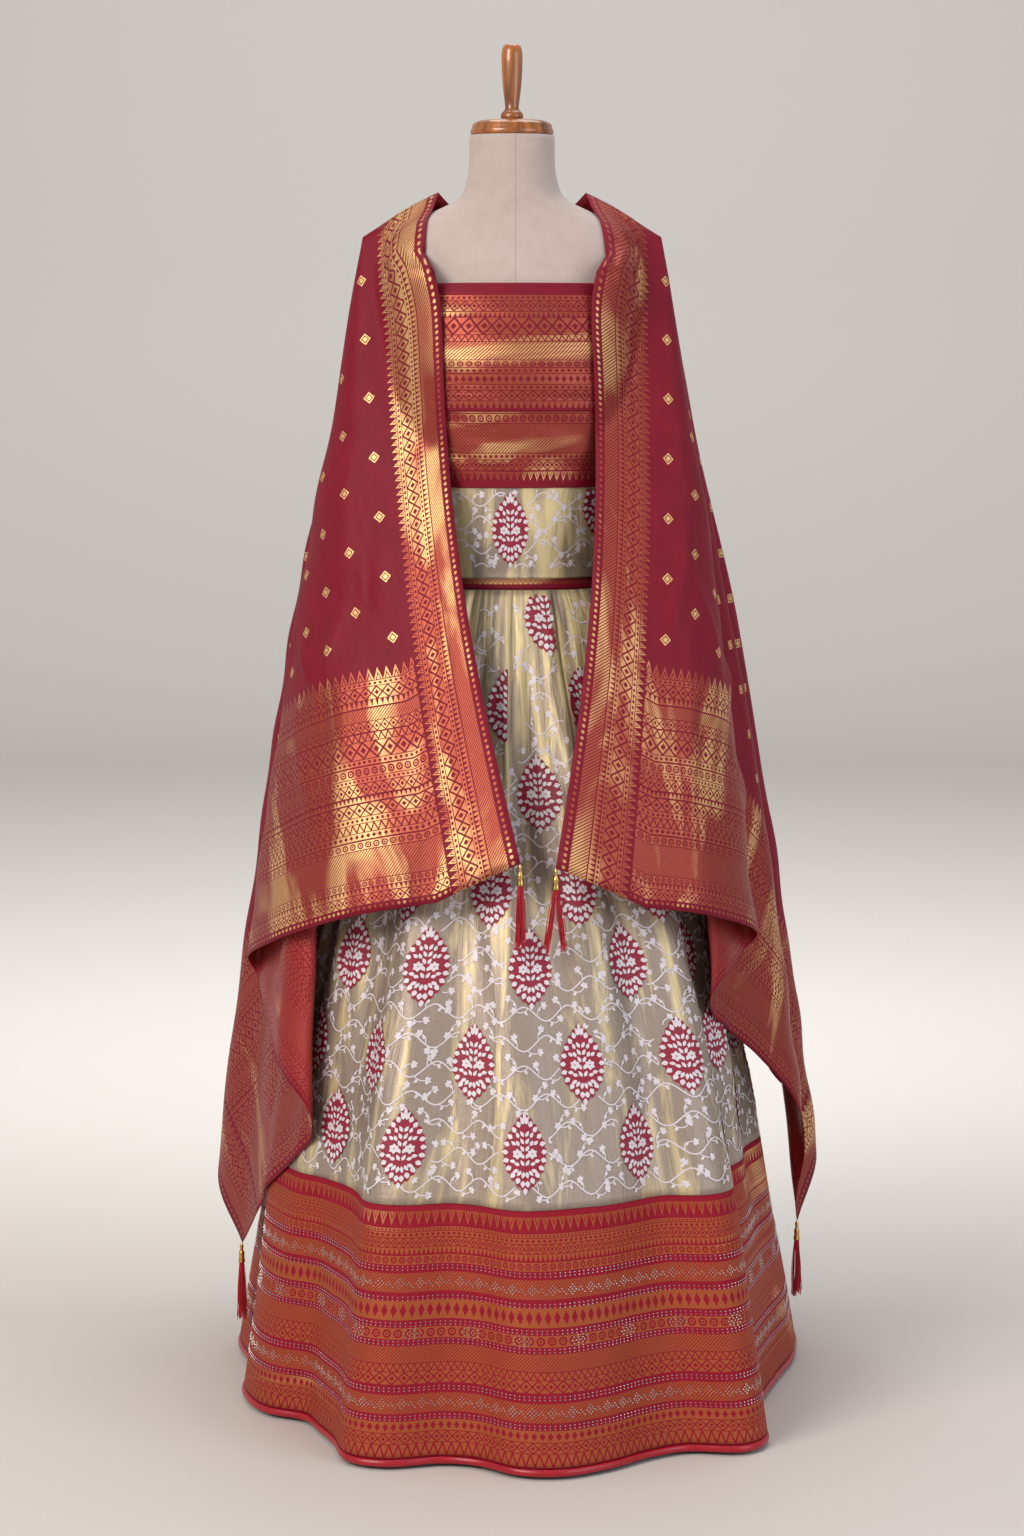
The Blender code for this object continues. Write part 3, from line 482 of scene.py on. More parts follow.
def finishBrocade(tree, shader, gold, along, across, look, pale=None):
    # gold thread lies over the silk: metallic and smoother, with painted highlights, pale gold patches laid by a
    # noise
    coords = addNode(tree, "ShaderNodeCombineXYZ", {0: along, 1: across}).outputs[0]
    shades = addNode(tree, "ShaderNodeTexNoise", {"Vector": coords, "Scale": 28.0, "Detail": 4.0})
    slubs = addNode(tree, "ShaderNodeTexNoise", {"Vector": coords, "Scale": 420.0, "Detail": 2.0})
    silk = addNode(
        tree, "ShaderNodeMixRGB",
        {
            "Fac": shades.outputs["Fac"], "Color1": toLinear(look["silk"][0]),
            "Color2": toLinear(look["silk"][1])
        },
    )
    metal = addNode(
        tree, "ShaderNodeMixRGB",
        {
            "Fac": slubs.outputs["Fac"], "Color1": toLinear(look["gold"][0]),
            "Color2": toLinear(look["gold"][1])
        },
    )
    # painted highlights: the gold is painted pale in noise patches, standing for stretches that face the light, and
    # copper over the red warp elsewhere
    drift = addNode(
        tree, "ShaderNodeMapping",
        {"Vector": coords, "Location": (*look["glintShift"], 0.0), "Scale": (*look["glintStretch"], 1.0)}
    )
    paintedGlintNoise = addNode(
        tree, "ShaderNodeTexNoise",
        {
            "Vector": drift.outputs[0], "Scale": look["glintScale"], "Detail": 3.0, "Roughness": 0.55,
            "Distortion": 0.9
        }
    )
    glint = addNode(
        tree, "ShaderNodeMapRange",
        {
            "Value": paintedGlintNoise.outputs["Fac"], "From Min": look["glintFrom"],
            "From Max": look["glintFrom"] + 0.10, "To Max": 0.88
        },
    ).outputs[0]
    if pale is not None:
        glint = addNode(tree, "ShaderNodeMath", {0: glint, 1: pale}, operation="MAXIMUM").outputs[0]
    metal = addNode(
        tree, "ShaderNodeMixRGB", {
            "Fac": glint, "Color1": metal.outputs["Color"], "Color2": toLinear(look["glintGold"])
        }
    )
    colour = addNode(
        tree, "ShaderNodeMixRGB", {
            "Fac": gold, "Color1": silk.outputs["Color"], "Color2": metal.outputs["Color"]
        },
    )
    tree.links.new(colour.outputs["Color"], shader.inputs["Base Color"])
    metallic = addNode(
        tree, "ShaderNodeMath", {0: gold, 1: look["metallic"]}, operation="MULTIPLY"
    ).outputs[0]
    tree.links.new(metallic, shader.inputs["Metallic"])
    rough = addNode(
        tree, "ShaderNodeMapRange", {"Value": gold, "To Min": look["roughSilk"], "To Max": look["roughGold"]}
    ).outputs[0]
    tree.links.new(rough, shader.inputs["Roughness"])
    bump = weaveGround(tree, along, across, look["thread"], 0.35)
    raised = addNode(
        tree, "ShaderNodeBump",
        {"Height": gold, "Strength": 0.5, "Distance": 0.0003, "Normal": bump.outputs["Normal"]},
    )
    # the noise of the painted highlights also bumps the cloth into creases
    raised = addNode(
        tree, "ShaderNodeBump",
        {
            "Height": paintedGlintNoise.outputs["Fac"], "Strength": 0.7, "Distance": look["creaseDepth"],
            "Normal": raised.outputs["Normal"]
        },
    )
    tree.links.new(raised.outputs["Normal"], shader.inputs["Normal"])
    shader.inputs["Specular IOR Level"].default_value = 0.2


def clothCoords(tree):
    # the piece's own UV map, laid out in metres of cloth
    uv = addNode(tree, "ShaderNodeUVMap", uv_map="cloth").outputs[0]
    split = addNode(tree, "ShaderNodeSeparateXYZ", {0: uv})
    return split.outputs[0], split.outputs[1]


brocadeLook = {
    "silk": ("#83102a", "#6c0a20"), "gold": ("#a5523c", "#934236"), "glintGold": "#ddb27a", "metallic": 0.5,
    "glintScale": 7.0, "glintFrom": 0.51, "glintShift": (0.0, 0.0), "glintStretch": (0.6, 1.5),
    "roughSilk": 0.55, "roughGold": 0.36, "creaseDepth": 0.008,
    "thread": 0.0016,  # real threads are 0.2 mm; drawn coarse enough to show
}


def makeDupattaSilk(name, look, buttas):
    # handloom silk, woven with gold in borders on the long sides and deep ends: crimson with a dull sheen
    made, tree, shader = newMaterial(name)
    s, t = clothCoords(tree)
    halfWidth = drape["width"] / 2
    fromMiddle = addNode(tree, "ShaderNodeMath", {0: t, 1: halfWidth}, operation="SUBTRACT").outputs[0]
    fromMiddle = addNode(tree, "ShaderNodeMath", {0: fromMiddle}, operation="ABSOLUTE").outputs[0]
    side = addNode(tree, "ShaderNodeMath", {0: halfWidth, 1: fromMiddle}, operation="SUBTRACT").outputs[0]
    alongAbs = addNode(tree, "ShaderNodeMath", {0: s}, operation="ABSOLUTE").outputs[0]
    end = addNode(
        tree, "ShaderNodeMath", {0: drape["halfLength"], 1: alongAbs}, operation="SUBTRACT"
    ).outputs[0]
    sideBands = (
        (0.004, 0.012, "dots", 0.0075, 0), (0.014, 0.034, "twill", 0.0042, 0), (
            0.0355, 0.0425, "drops", 0.006, 1
        ),
        (0.0435, 0.049, "dots", 0.006, 1), (
            0.0495, 0.067, "lattice", 0.0165, 1
        ), (0.068, 0.0735, "diamonds", 0.007, 1),
        (0.0745, 0.086, "spears", 0.009, 0),
    )
    endBands = (
        (0.003, 0.010, "dots", 0.0075, 0), (
            0.011, 0.023, "lattice", 0.012, 1
        ), (0.024, 0.030, "drops", 0.006, 1),
        (0.031, 0.039, "rings", 0.009, 1), (
            0.040, 0.076, "twill", 0.0042, 0
        ), (0.077, 0.087, "rings", 0.011, 1),
        (
            0.089, 0.097, "diamonds", 0.008, 1
        ), (0.098, 0.108, "zigzag", 0.010, 1), (0.109, 0.116, "dots", 0.007, 1),
        (
            0.117, 0.132, "lattice", 0.015, 1
        ), (0.134, 0.140, "drops", 0.006, 1), (0.142, 0.156, "lattice", 0.012, 1),
        (0.157, 0.163, "dots", 0.006, 1), (0.164, 0.176, "rings", 0.011, 1),
        (0.178, 0.185, "dots", 0.007, 1), (
            0.186, 0.206, "lattice", 0.018, 1
        ), (0.207, 0.216, "zigzag", 0.009, 1),
        (
            0.218, 0.230, "lattice", 0.011, 1
        ), (0.231, 0.246, "twill", 0.0042, 0), (0.248, 0.256, "drops", 0.007, 1), (
            0.257, 0.272, "lattice", 0.015, 1
        ),
        (0.273, 0.279, "dots", 0.007, 1), (0.280, 0.296, "spears", 0.012, 0),
    )
    sideGold = weaveBands(tree, s, side, sideBands)
    endGold = weaveBands(tree, t, end, endBands)
    inSide = addNode(tree, "ShaderNodeMath", {0: side, 1: 0.087}, operation="LESS_THAN").outputs[0]
    pastSide = addNode(tree, "ShaderNodeMath", {0: 1.0, 1: inSide}, operation="SUBTRACT").outputs[0]
    endGold = addNode(tree, "ShaderNodeMath", {0: endGold, 1: pastSide}, operation="MULTIPLY").outputs[0]
    gold = addNode(tree, "ShaderNodeMath", {0: sideGold, 1: endGold}, operation="MAXIMUM").outputs[0]
    # buttas: small gold lozenges in staggered rows on the plain field
    column = addNode(
        tree, "ShaderNodeMath", {0: t, 1: 1 / buttas["pitchAcross"]}, operation="MULTIPLY"
    ).outputs[0]
    index = addNode(tree, "ShaderNodeMath", {0: column}, operation="FLOOR").outputs[0]
    stagger = addNode(tree, "ShaderNodeMath", {0: index, 1: 0.5}, operation="MULTIPLY").outputs[0]
    row = addNode(
        tree, "ShaderNodeMath", {0: s, 1: 1 / buttas["pitchAlong"], 2: stagger}, operation="MULTIPLY_ADD"
    )
    offsets = []
    for value, pitch in ((column, buttas["pitchAcross"]), (row.outputs[0], buttas["pitchAlong"])):
        part = addNode(tree, "ShaderNodeMath", {0: value}, operation="FRACT").outputs[0]
        part = addNode(tree, "ShaderNodeMath", {0: part, 1: 0.5}, operation="SUBTRACT").outputs[0]
        part = addNode(tree, "ShaderNodeMath", {0: part}, operation="ABSOLUTE").outputs[0]
        offsets.append(addNode(tree, "ShaderNodeMath", {0: part, 1: pitch}, operation="MULTIPLY").outputs[0])
    reach = addNode(tree, "ShaderNodeMath", {0: offsets[0], 1: offsets[1]}, operation="ADD").outputs[0]
    butta = addNode(
        tree, "ShaderNodeMath", {0: reach, 1: buttas["size"] / 2}, operation="LESS_THAN"
    ).outputs[0]
    eye = addNode(
        tree, "ShaderNodeMath", {
            0: reach, 1: buttas["size"] * 0.3, 2: buttas["size"] * 0.055
        }, operation="COMPARE"
    ).outputs[0]
    butta = addNode(tree, "ShaderNodeMath", {0: butta, 1: eye}, operation="SUBTRACT").outputs[0]
    inEnd = addNode(tree, "ShaderNodeMath", {0: end, 1: 0.30}, operation="GREATER_THAN").outputs[0]
    field = addNode(tree, "ShaderNodeMath", {0: inEnd, 1: pastSide}, operation="MULTIPLY").outputs[0]
    butta = addNode(tree, "ShaderNodeMath", {0: butta, 1: field}, operation="MULTIPLY").outputs[0]
    gold = addNode(tree, "ShaderNodeMath", {0: gold, 1: butta}, operation="MAXIMUM").outputs[0]
    finishBrocade(tree, shader, gold, s, t, look, butta)
    return made


def makeBandedBrocade(name, bands, look):
    # brocade cloth of the bodice and the skirt's border: silk ground, gold weft figures in rows
    made, tree, shader = newMaterial(name)
    along, across = clothCoords(tree)
    finishBrocade(tree, shader, weaveBands(tree, along, across, bands), along, across, look)
    return made


def makeTissue(name, look):
    # tissue: silk warp with a gold weft, grey-brown, with pale gold painted highlights in streaks
    made, tree, shader = newMaterial(name)
    along, across = clothCoords(tree)
    coords = addNode(tree, "ShaderNodeCombineXYZ", {0: along, 1: across}).outputs[0]
    slubs = addNode(tree, "ShaderNodeTexNoise", {"Vector": coords, "Scale": 300.0, "Detail": 2.0})
    base = addNode(
        tree, "ShaderNodeMixRGB",
        {"Fac": slubs.outputs["Fac"], "Color1": toLinear(look["pale"]), "Color2": toLinear(look["deep"])},
    )
    # painted highlights: pale gold streaks from a noise stretched upright, more of them higher up towards the waist
    drift = addNode(tree, "ShaderNodeMapping", {"Vector": coords, "Scale": (1.0, 0.2, 1.0)})
    folds = addNode(
        tree, "ShaderNodeTexNoise",
        {"Vector": drift.outputs[0], "Scale": 26.0, "Detail": 5.0, "Roughness": 0.6, "Distortion": 0.6}
    )
    place = addNode(tree, "ShaderNodeTexCoord").outputs["Object"]
    height = addNode(tree, "ShaderNodeSeparateXYZ", {0: place}).outputs[2]
    paintedShineTowardsTop = addNode(
        tree, "ShaderNodeMapRange", {
            "Value": height, "From Min": 0.35, "From Max": 1.0, "To Min": -0.07, "To Max": 0.05
        }
    ).outputs[0]
    paintedShine = addNode(tree, "ShaderNodeMath", {0: folds.outputs["Fac"], 1: paintedShineTowardsTop}, operation="ADD").outputs[0]
    paintedShine = addNode(
        tree, "ShaderNodeMapRange", {"Value": paintedShine, "From Min": 0.46, "From Max": 0.62}
    ).outputs[0]
    colour = addNode(
        tree, "ShaderNodeMixRGB", {
            "Fac": paintedShine, "Color1": base.outputs["Color"], "Color2": toLinear(look["glint"])
        },
    )
    tree.links.new(colour.outputs["Color"], shader.inputs["Base Color"])
    shader.inputs["Metallic"].default_value = look["metallic"]
    shader.inputs["Roughness"].default_value = look["roughness"]
    bump = weaveGround(tree, along, across, look["thread"], 0.3)
    # the noise of the painted highlight streaks also bumps the cloth into creases
    creased = addNode(
        tree, "ShaderNodeBump",
        {
            "Height": folds.outputs["Fac"], "Strength": 0.6, "Distance": 0.005,
            "Normal": bump.outputs["Normal"]
        },
    )
    tree.links.new(creased.outputs["Normal"], shader.inputs["Normal"])
    return made


def makeThread(name, colours, metallic, roughness, scale):
    # silk or metal thread laid as a figure: a slightly uneven sheen
    made, tree, shader = newMaterial(name)
    place = addNode(tree, "ShaderNodeTexCoord").outputs["Object"]
    shades = addNode(tree, "ShaderNodeTexNoise", {"Vector": place, "Scale": scale, "Detail": 3.0})
    colour = addNode(
        tree, "ShaderNodeMixRGB",
        {"Fac": shades.outputs["Fac"], "Color1": toLinear(colours[0]), "Color2": toLinear(colours[1])},
    )
    tree.links.new(colour.outputs["Color"], shader.inputs["Base Color"])
    bump = addNode(
        tree, "ShaderNodeBump", {"Height": shades.outputs["Fac"], "Strength": 0.3, "Distance": 0.0005}
    )
    tree.links.new(bump.outputs["Normal"], shader.inputs["Normal"])
    shader.inputs["Metallic"].default_value = metallic
    shader.inputs["Roughness"].default_value = roughness
    return made


def makeLinen(name):
    # plain-woven linen stretched on a hard shell: matte, slightly slubbed, pale pinkish beige
    made, tree, shader = newMaterial(name)
    place = addNode(tree, "ShaderNodeTexCoord").outputs["Object"]
    heights = []
    for direction in ("X", "Z"):
        wave = addNode(
            tree, "ShaderNodeTexWave", {"Vector": place, "Scale": 180.0, "Distortion": 1.2, "Detail": 2.0},
            bands_direction=direction,
        )
        heights.append(wave.outputs["Fac"])
    threads = addNode(tree, "ShaderNodeMath", {0: heights[0], 1: heights[1]}, operation="ADD").outputs[0]
    slubs = addNode(tree, "ShaderNodeTexNoise", {"Vector": place, "Scale": 60.0, "Detail": 5.0})
    colour = addNode(
        tree, "ShaderNodeMixRGB",
        {"Fac": slubs.outputs["Fac"], "Color1": toLinear("#bdaea8"), "Color2": toLinear("#ab9a94")},
    )
    # the cover's seam down the middle of the front and back
    sideways = addNode(tree, "ShaderNodeSeparateXYZ", {0: place}).outputs[0]
    seam = addNode(
        tree, "ShaderNodeMath", {0: sideways, 1: 0.0045, 2: 0.0006}, operation="COMPARE"
    ).outputs[0]
    seam = addNode(tree, "ShaderNodeMath", {0: seam, 1: 0.35}, operation="MULTIPLY").outputs[0]
    colour = addNode(
        tree, "ShaderNodeMixRGB", {
            "Fac": seam, "Color1": colour.outputs["Color"], "Color2": toLinear("#6d5f5a")
        }
    )
    tree.links.new(colour.outputs["Color"], shader.inputs["Base Color"])
    bump = addNode(tree, "ShaderNodeBump", {"Height": threads, "Strength": 0.25, "Distance": 0.0003})
    tree.links.new(bump.outputs["Normal"], shader.inputs["Normal"])
    shader.inputs["Roughness"].default_value = 0.9
    shader.inputs["Sheen Weight"].default_value = 0.2
    return made


def makeTeak(name):
    # turned teak under gloss varnish: long grain streaks, warm amber to brown
    made, tree, shader = newMaterial(name)
    place = addNode(tree, "ShaderNodeTexCoord").outputs["Object"]
    stretched = addNode(tree, "ShaderNodeMapping", {"Vector": place, "Scale": (90.0, 90.0, 9.0)}).outputs[0]
    grain = addNode(
        tree, "ShaderNodeTexNoise", {"Vector": stretched, "Scale": 1.0, "Detail": 6.0, "Distortion": 0.6}
    )
    ramp = addNode(tree, "ShaderNodeValToRGB", {"Fac": grain.outputs["Fac"]})
    ramp.color_ramp.elements[0].color, ramp.color_ramp.elements[0].position = toLinear("#5a2a0c"), 0.32
    ramp.color_ramp.elements[1].color, ramp.color_ramp.elements[1].position = toLinear("#b3681f"), 0.68
    tree.links.new(ramp.outputs["Color"], shader.inputs["Base Color"])
    shader.inputs["Roughness"].default_value = 0.35
    shader.inputs["Coat Weight"].default_value = 0.8
    shader.inputs["Coat Roughness"].default_value = 0.08
    return made


def makeMetal(name, colours, roughness, scale):
    # cast or turned metal, with a faint uneven polish
    made, tree, shader = newMaterial(name)
    place = addNode(tree, "ShaderNodeTexCoord").outputs["Object"]
    marks = addNode(tree, "ShaderNodeTexNoise", {"Vector": place, "Scale": scale, "Detail": 4.0})
    colour = addNode(
        tree, "ShaderNodeMixRGB",
        {"Fac": marks.outputs["Fac"], "Color1": toLinear(colours[0]), "Color2": toLinear(colours[1])},
    )
    tree.links.new(colour.outputs["Color"], shader.inputs["Base Color"])
    rough = addNode(
        tree, "ShaderNodeMapRange",
        {"Value": marks.outputs["Fac"], "To Min": roughness * 0.7, "To Max": roughness * 1.3},
    ).outputs[0]
    tree.links.new(rough, shader.inputs["Roughness"])
    shader.inputs["Metallic"].default_value = 1.0
    return made


# materials of this set
buttas = {"pitchAcross": 0.045, "pitchAlong": 0.076, "size": 0.015}
dupattaSilk = makeDupattaSilk("handloomSilkWithGoldBorders", brocadeLook, buttas)
dupattaReverse = makeDupattaSilk(
    "silkReverse", dict(
        brocadeLook, gold=("#a2483a", "#8c2c2c"), glintFrom=0.60, metallic=0.3, silk=("#921228", "#7c0e22")
    ), buttas
)
# each look's glint settings set the size, share and place of its painted highlight patches
upperBrocade = makeBandedBrocade("bodiceBrocade", (
    (0.015, 0.021, "dots", 0.007, 1), (0.022, 0.034, "lattice", 0.012, 1), (0.035, 0.041, "drops", 0.006, 1),
    (
        0.042, 0.062, "lattice", 0.018, 1
    ), (0.063, 0.070, "zigzag", 0.008, 1), (0.071, 0.092, "twill", 0.0042, 0),
    (0.093, 0.101, "rings", 0.010, 1), (0.102, 0.108, "dots", 0.007, 1), (0.109, 0.121, "diamonds", 0.008, 1),
    (0.122, 0.128, "dots", 0.007, 1), (0.129, 0.141, "lattice", 0.012, 1), (0.142, 0.150, "drops", 0.007, 1),
), dict(brocadeLook, glintScale=9.0, glintFrom=0.53, glintShift=(0.2, 0.092), glintStretch=(0.3, 2.2)))
lowerBrocade = makeBandedBrocade("tuckedBrocade", (
    (
        0.002, 0.012, "diamonds", 0.008, 1
    ), (0.013, 0.024, "rings", 0.010, 1), (0.025, 0.060, "twill", 0.0042, 0),
    (0.061, 0.068, "dots", 0.007, 1), (0.069, 0.081, "lattice", 0.012, 1), (0.083, 0.095, "spears", 0.009, 0),
), dict(brocadeLook, glintFrom=0.48, glintScale=9.0, glintShift=(0.3, 0.1), glintStretch=(0.5, 1.6)))
bandBrocade = makeBandedBrocade("waistbandBrocade", (
    (0.002, 0.009, "dots", 0.006, 1), (0.010, 0.018, "lattice", 0.008, 1),
), brocadeLook)
borderBrocade = makeBandedBrocade("hemBorderBrocade", (
    (0.007, 0.024, "spears", 0.011, 0), (0.026, 0.030, "dots", 0.005, 1), (
        0.031, 0.037, "diamonds", 0.007, 1
    ),
    (0.038, 0.048, "lattice", 0.010, 1), (0.049, 0.056, "drops", 0.006, 1), (0.058, 0.068, "rings", 0.010, 1),
    (0.078, 0.100, "twill", 0.0042, 0), (
        0.110, 0.132, "diamonds", 0.011, 1
    ), (0.141, 0.154, "rings", 0.013, 1),
    (0.162, 0.182, "twill", 0.0042, 0), (0.183, 0.191, "zigzag", 0.008, 1), (
        0.192, 0.206, "lattice", 0.014, 1
    ),
    (0.218, 0.240, "twill", 0.0042, 0), (
        0.249, 0.262, "diamonds", 0.009, 1
    ), (0.263, 0.275, "lattice", 0.012, 1),
    (0.276, 0.290, "zigzag", 0.010, 1),
), dict(
    brocadeLook, silk=("#93122a", "#820e22"), gold=("#a85631", "#97482a"), metallic=0.3,
    glintFrom=0.62, glintScale=5.0, glintStretch=(0.6, 1.2), roughSilk=0.75, roughGold=0.58, creaseDepth=0.002,
))
tissueLook = {
    "pale": "#a59588", "deep": "#8d7e73", "glint": "#dac898", "metallic": 0.35, "roughness": 0.4,
    "thread": 0.0016,  # drawn coarse, as the brocade's
}
tissue = makeTissue("goldTissue", tissueLook)
silverThread = makeThread("silverThread", ("#e4dce2", "#c9c0c8"), 0.1, 0.5, 240.0)
crimsonThread = makeThread("crimsonThread", ("#9a1838", "#7d122c"), 0.0, 0.6, 240.0)
redSatin = makeThread("redSatinPiping", ("#ad0c22", "#8f0a1c"), 0.0, 0.32, 60.0)
tasselSilk = makeThread("twistedSilk", ("#cf1530", "#8f0c1f"), 0.0, 0.5, 600.0)
linen = makeLinen("stretchedLinen")
teak = makeTeak("varnishedTeak")
castBrass = makeMetal("spunBrass", ("#d9b36a", "#b98c45"), 0.25, 300.0)
cutStone = makeThread("cutGlassStone", ("#c9ced1", "#979ea2"), 0.6, 0.2, 900.0)
blackPaint = makeThread("blackStovePaint", ("#1c1c1d", "#131314"), 0.0, 0.42, 90.0)
steel = makeMetal("satinSteel", ("#9a9a9c", "#7c7c80"), 0.35, 80.0)
print("materials made")


# dress form
torsoHeights = sorted(set(steps(0.86, 1.40, 54) + steps(1.40, 1.50, 40) + steps(1.50, levels["neckTop"], 12)))
torso = addPiece(
    "linenTorso", tubeMesh("linenTorso", 160, torsoHeights, lambda a, z: atAngle(formRadius(a, z), a, z))
)
bm = bmesh.new()
bm.from_mesh(torso.data)
bmesh.ops.holes_fill(bm, edges=[e for e in bm.edges if e.is_boundary])
bmesh.ops.recalc_face_normals(bm, faces=bm.faces)
bm.to_mesh(torso.data)
bm.free()
wear(torso, linen)
carry(torso, "linen", "form_torso")


def turnUp(name, profile, foot, sides, material, slot, node, place=(0, 0)):
    # turned piece: a disc drawn up ring by ring, as on a lathe
    bpy.ops.object.select_all(action="DESELECT")
    bpy.ops.mesh.primitive_circle_add(
        vertices=sides, radius=profile[0][0], fill_type="NGON", location=(*place, foot + profile[0][1])
    )
    piece = bpy.context.object
    piece.name = name
    bpy.ops.object.mode_set(mode="EDIT")
    bpy.ops.mesh.select_all(action="SELECT")
    for (lastRadius, lastHeight), (radius, height) in zip(profile, profile[1:]):
        bpy.ops.mesh.extrude_region_move(TRANSFORM_OT_translate={"value": (0, 0, height - lastHeight)})
        scale = radius / lastRadius
        bpy.ops.transform.resize(value=(scale, scale, 1))
    bpy.ops.mesh.select_all(action="SELECT")
    bpy.ops.mesh.normals_make_consistent(inside=False)
    bpy.ops.object.mode_set(mode="OBJECT")
    bpy.ops.object.shade_smooth_by_angle(angle=math.radians(35))
    bpy.ops.object.transform_apply(location=True, rotation=True, scale=True)
    wear(piece, material)
    carry(piece, slot, node)
    return piece


capProfile = (
    (0.0490, 0.0), (0.0500, 0.0004), (0.0512, 0.0016), (0.0515, 0.0030), (0.0515, 0.0056), (0.0510, 0.0066),
    (0.0498, 0.0090), (0.0495, 0.0120), (0.0475, 0.0145), (0.0440, 0.0166), (0.0400, 0.0178), (0.0300, 0.0186),
    (0.0160, 0.0190),
)
turnUp("teakNeckCap", capProfile, levels["neckTop"] + 0.0004, 96, teak, "teak", "neck_cap")
handleProfile = (
    (0.0115, 0.0), (0.0130, 0.0006), (0.0140, 0.0024), (0.0141, 0.0050), (0.0134, 0.0074), (0.0112, 0.0095),
    (0.0092, 0.0115), (0.0084, 0.0150), (0.0090, 0.0210), (0.0104, 0.0310), (0.0117, 0.0430), (0.0125, 0.0560),
    (0.0130, 0.0700), (0.0130, 0.0790), (0.0122, 0.0850), (0.0104, 0.0892), (0.0078, 0.0912), (0.0040, 0.0919),
)
turnUp("teakHandle", handleProfile, levels["neckTop"] + 0.0198, 64, teak, "teak", "cap_handle")
for node, material in (("stand_pole", steel), ("stand_base", blackPaint)):
    wear(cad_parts[node], material)
print("dress form made")


# bodice
def makeTier(name, node, tier, low, high, rows, material, slot, rolled):
    out = tierOut[tier]

    def wall(angle, z):
        # the edges are rolled: the cloth draws in to the form at its ends
        edge = bands["rolledEdge"]
        lift = rolled * (1 - ease(low, low + edge, z) * (1 - ease(high - edge, high, z)))
        return atAngle(
            formRadius(angle, z) + out + bands["seat"] + lift + bodiceWrinkles(tier, angle, z), angle, z
        )

    mesh = tubeMesh(
        name, 240, steps(low, high, rows), lambda a, z: wall(a - math.pi, z), lambda a,
        z: (a * bands["weaveRadius"], high - z)
    )
    piece = addPiece(name, mesh)
    wear(piece, material)
    giveWall(piece, cloth["thinWall"], 1.0)
    carry(piece, slot, node)
    return piece


waistband = makeTier(
    "waistband", "skirt_waistband", "waistband", levels["bandBottom"], levels["bandTop"], 10, bandBrocade,
    "brocade", 0.0
)
midriffWrap = makeTier(
    "midriffWrap", "bodice_midriff", "midriff", levels["midriffBottom"], levels["midriffTop"], 50, tissue,
    "tissue", 0.0006
)
lowerTier = makeTier(
    "lowerTier", "bodice_lower_tier", "lower", levels["lowerBottom"], levels["lowerTop"], 60, lowerBrocade,
    "brocade", 0.0003
)
upperTier = makeTier(
    "upperTier", "bodice_upper_tier", "upper", levels["upperBottom"], levels["upperTop"], 80, upperBrocade,
    "brocade", 0.0003
)
print("bodice made")


# skirt
arcSteps = 720


def arcAngles(z):
    # angles from the back seam round the skirt, and the cloth's length up to each
    spots = [2 * math.pi * k / arcSteps - math.pi for k in range(arcSteps + 1)]
    lengths = [0.0]
    for a, b in zip(spots, spots[1:]):
        lengths.append(lengths[-1] + (skirtPoint(b, z) - skirtPoint(a, z)).length)
    return spots, lengths


hemArc = arcAngles(0.16)[1]  # half way up the border


def hemLength(angle):
    # cloth length round the border from the back seam
    turn = angle / (2 * math.pi) * arcSteps
    k = min(int(turn), arcSteps - 1)
    return hemArc[k] + (hemArc[k + 1] - hemArc[k]) * (turn - k)


skirtColumns = 448
bodyMesh = tubeMesh(
    "tissueSkirt", skirtColumns, steps(levels["seam"] + 0.0004, levels["skirtTop"], 84),
    lambda a, z: skirtPoint(a - math.pi, z), lambda a, z: (hemLength(a), levels["skirtTop"] - z),
)
tissueSkirt = addPiece("tissueSkirt", bodyMesh)
wear(tissueSkirt, tissue)
giveWall(tissueSkirt, cloth["skirtWall"], 1.0)
carry(tissueSkirt, "tissue", "skirt_body")
borderMesh = tubeMesh(
    "hemBorder", skirtColumns, steps(levels["hem"] + levels["piping"], levels["seam"], 40),
    lambda a, z: skirtPoint(a - math.pi, z), lambda a, z: (hemLength(a), levels["seam"] - z),
)
hemBorder = addPiece("hemBorder", borderMesh)
wear(hemBorder, borderBrocade)
giveWall(hemBorder, cloth["skirtWall"], 1.0)
carry(hemBorder, "brocade", "skirt_border")

pipe = {"radius": 0.0043, "halfThickness": 0.0028, "sides": 10}
points, faces = [], []
for k in range(skirtColumns):
    angle = 2 * math.pi * k / skirtColumns
    for n in range(pipe["sides"]):
        turn = 2 * math.pi * n / pipe["sides"]
        z = levels["hem"] + pipe["radius"] + pipe["radius"] * math.sin(turn)
        out = cloth["skirtWall"] / 2 + pipe["halfThickness"] * math.cos(turn)
        points.append(tuple(skirtPoint(angle, z, out)))
        m, following = (n + 1) % pipe["sides"], (k + 1) % skirtColumns
        faces.append(
            (
                k * pipe["sides"] + n, following * pipe["sides"] + n, following * pipe["sides"] + m,
                k * pipe["sides"] + m
            )
        )
pipeMesh = bpy.data.meshes.new("hemPiping")
pipeMesh.from_pydata(points, [], faces)
pipeMesh.shade_smooth()
hemPiping = addPiece("hemPiping", pipeMesh)
wear(hemPiping, redSatin)
carry(hemPiping, "satin", "skirt_piping")
print("skirt made")


# woven figures of the tissue: silver vines and crimson-and-silver medallions, laid on the cloth as raised thread
def leafShape(x, y, turn, length, width):
    # pointed leaf, from its root outwards
    outline = ((0, 0), (0.5, 0.32), (0.42, 0.66), (0, 1), (-0.42, 0.66), (-0.5, 0.32))
    c, s = math.cos(turn), math.sin(turn)
    return [(x + a * width * c + b * length * s, y - a * width * s + b * length * c) for a, b in outline]


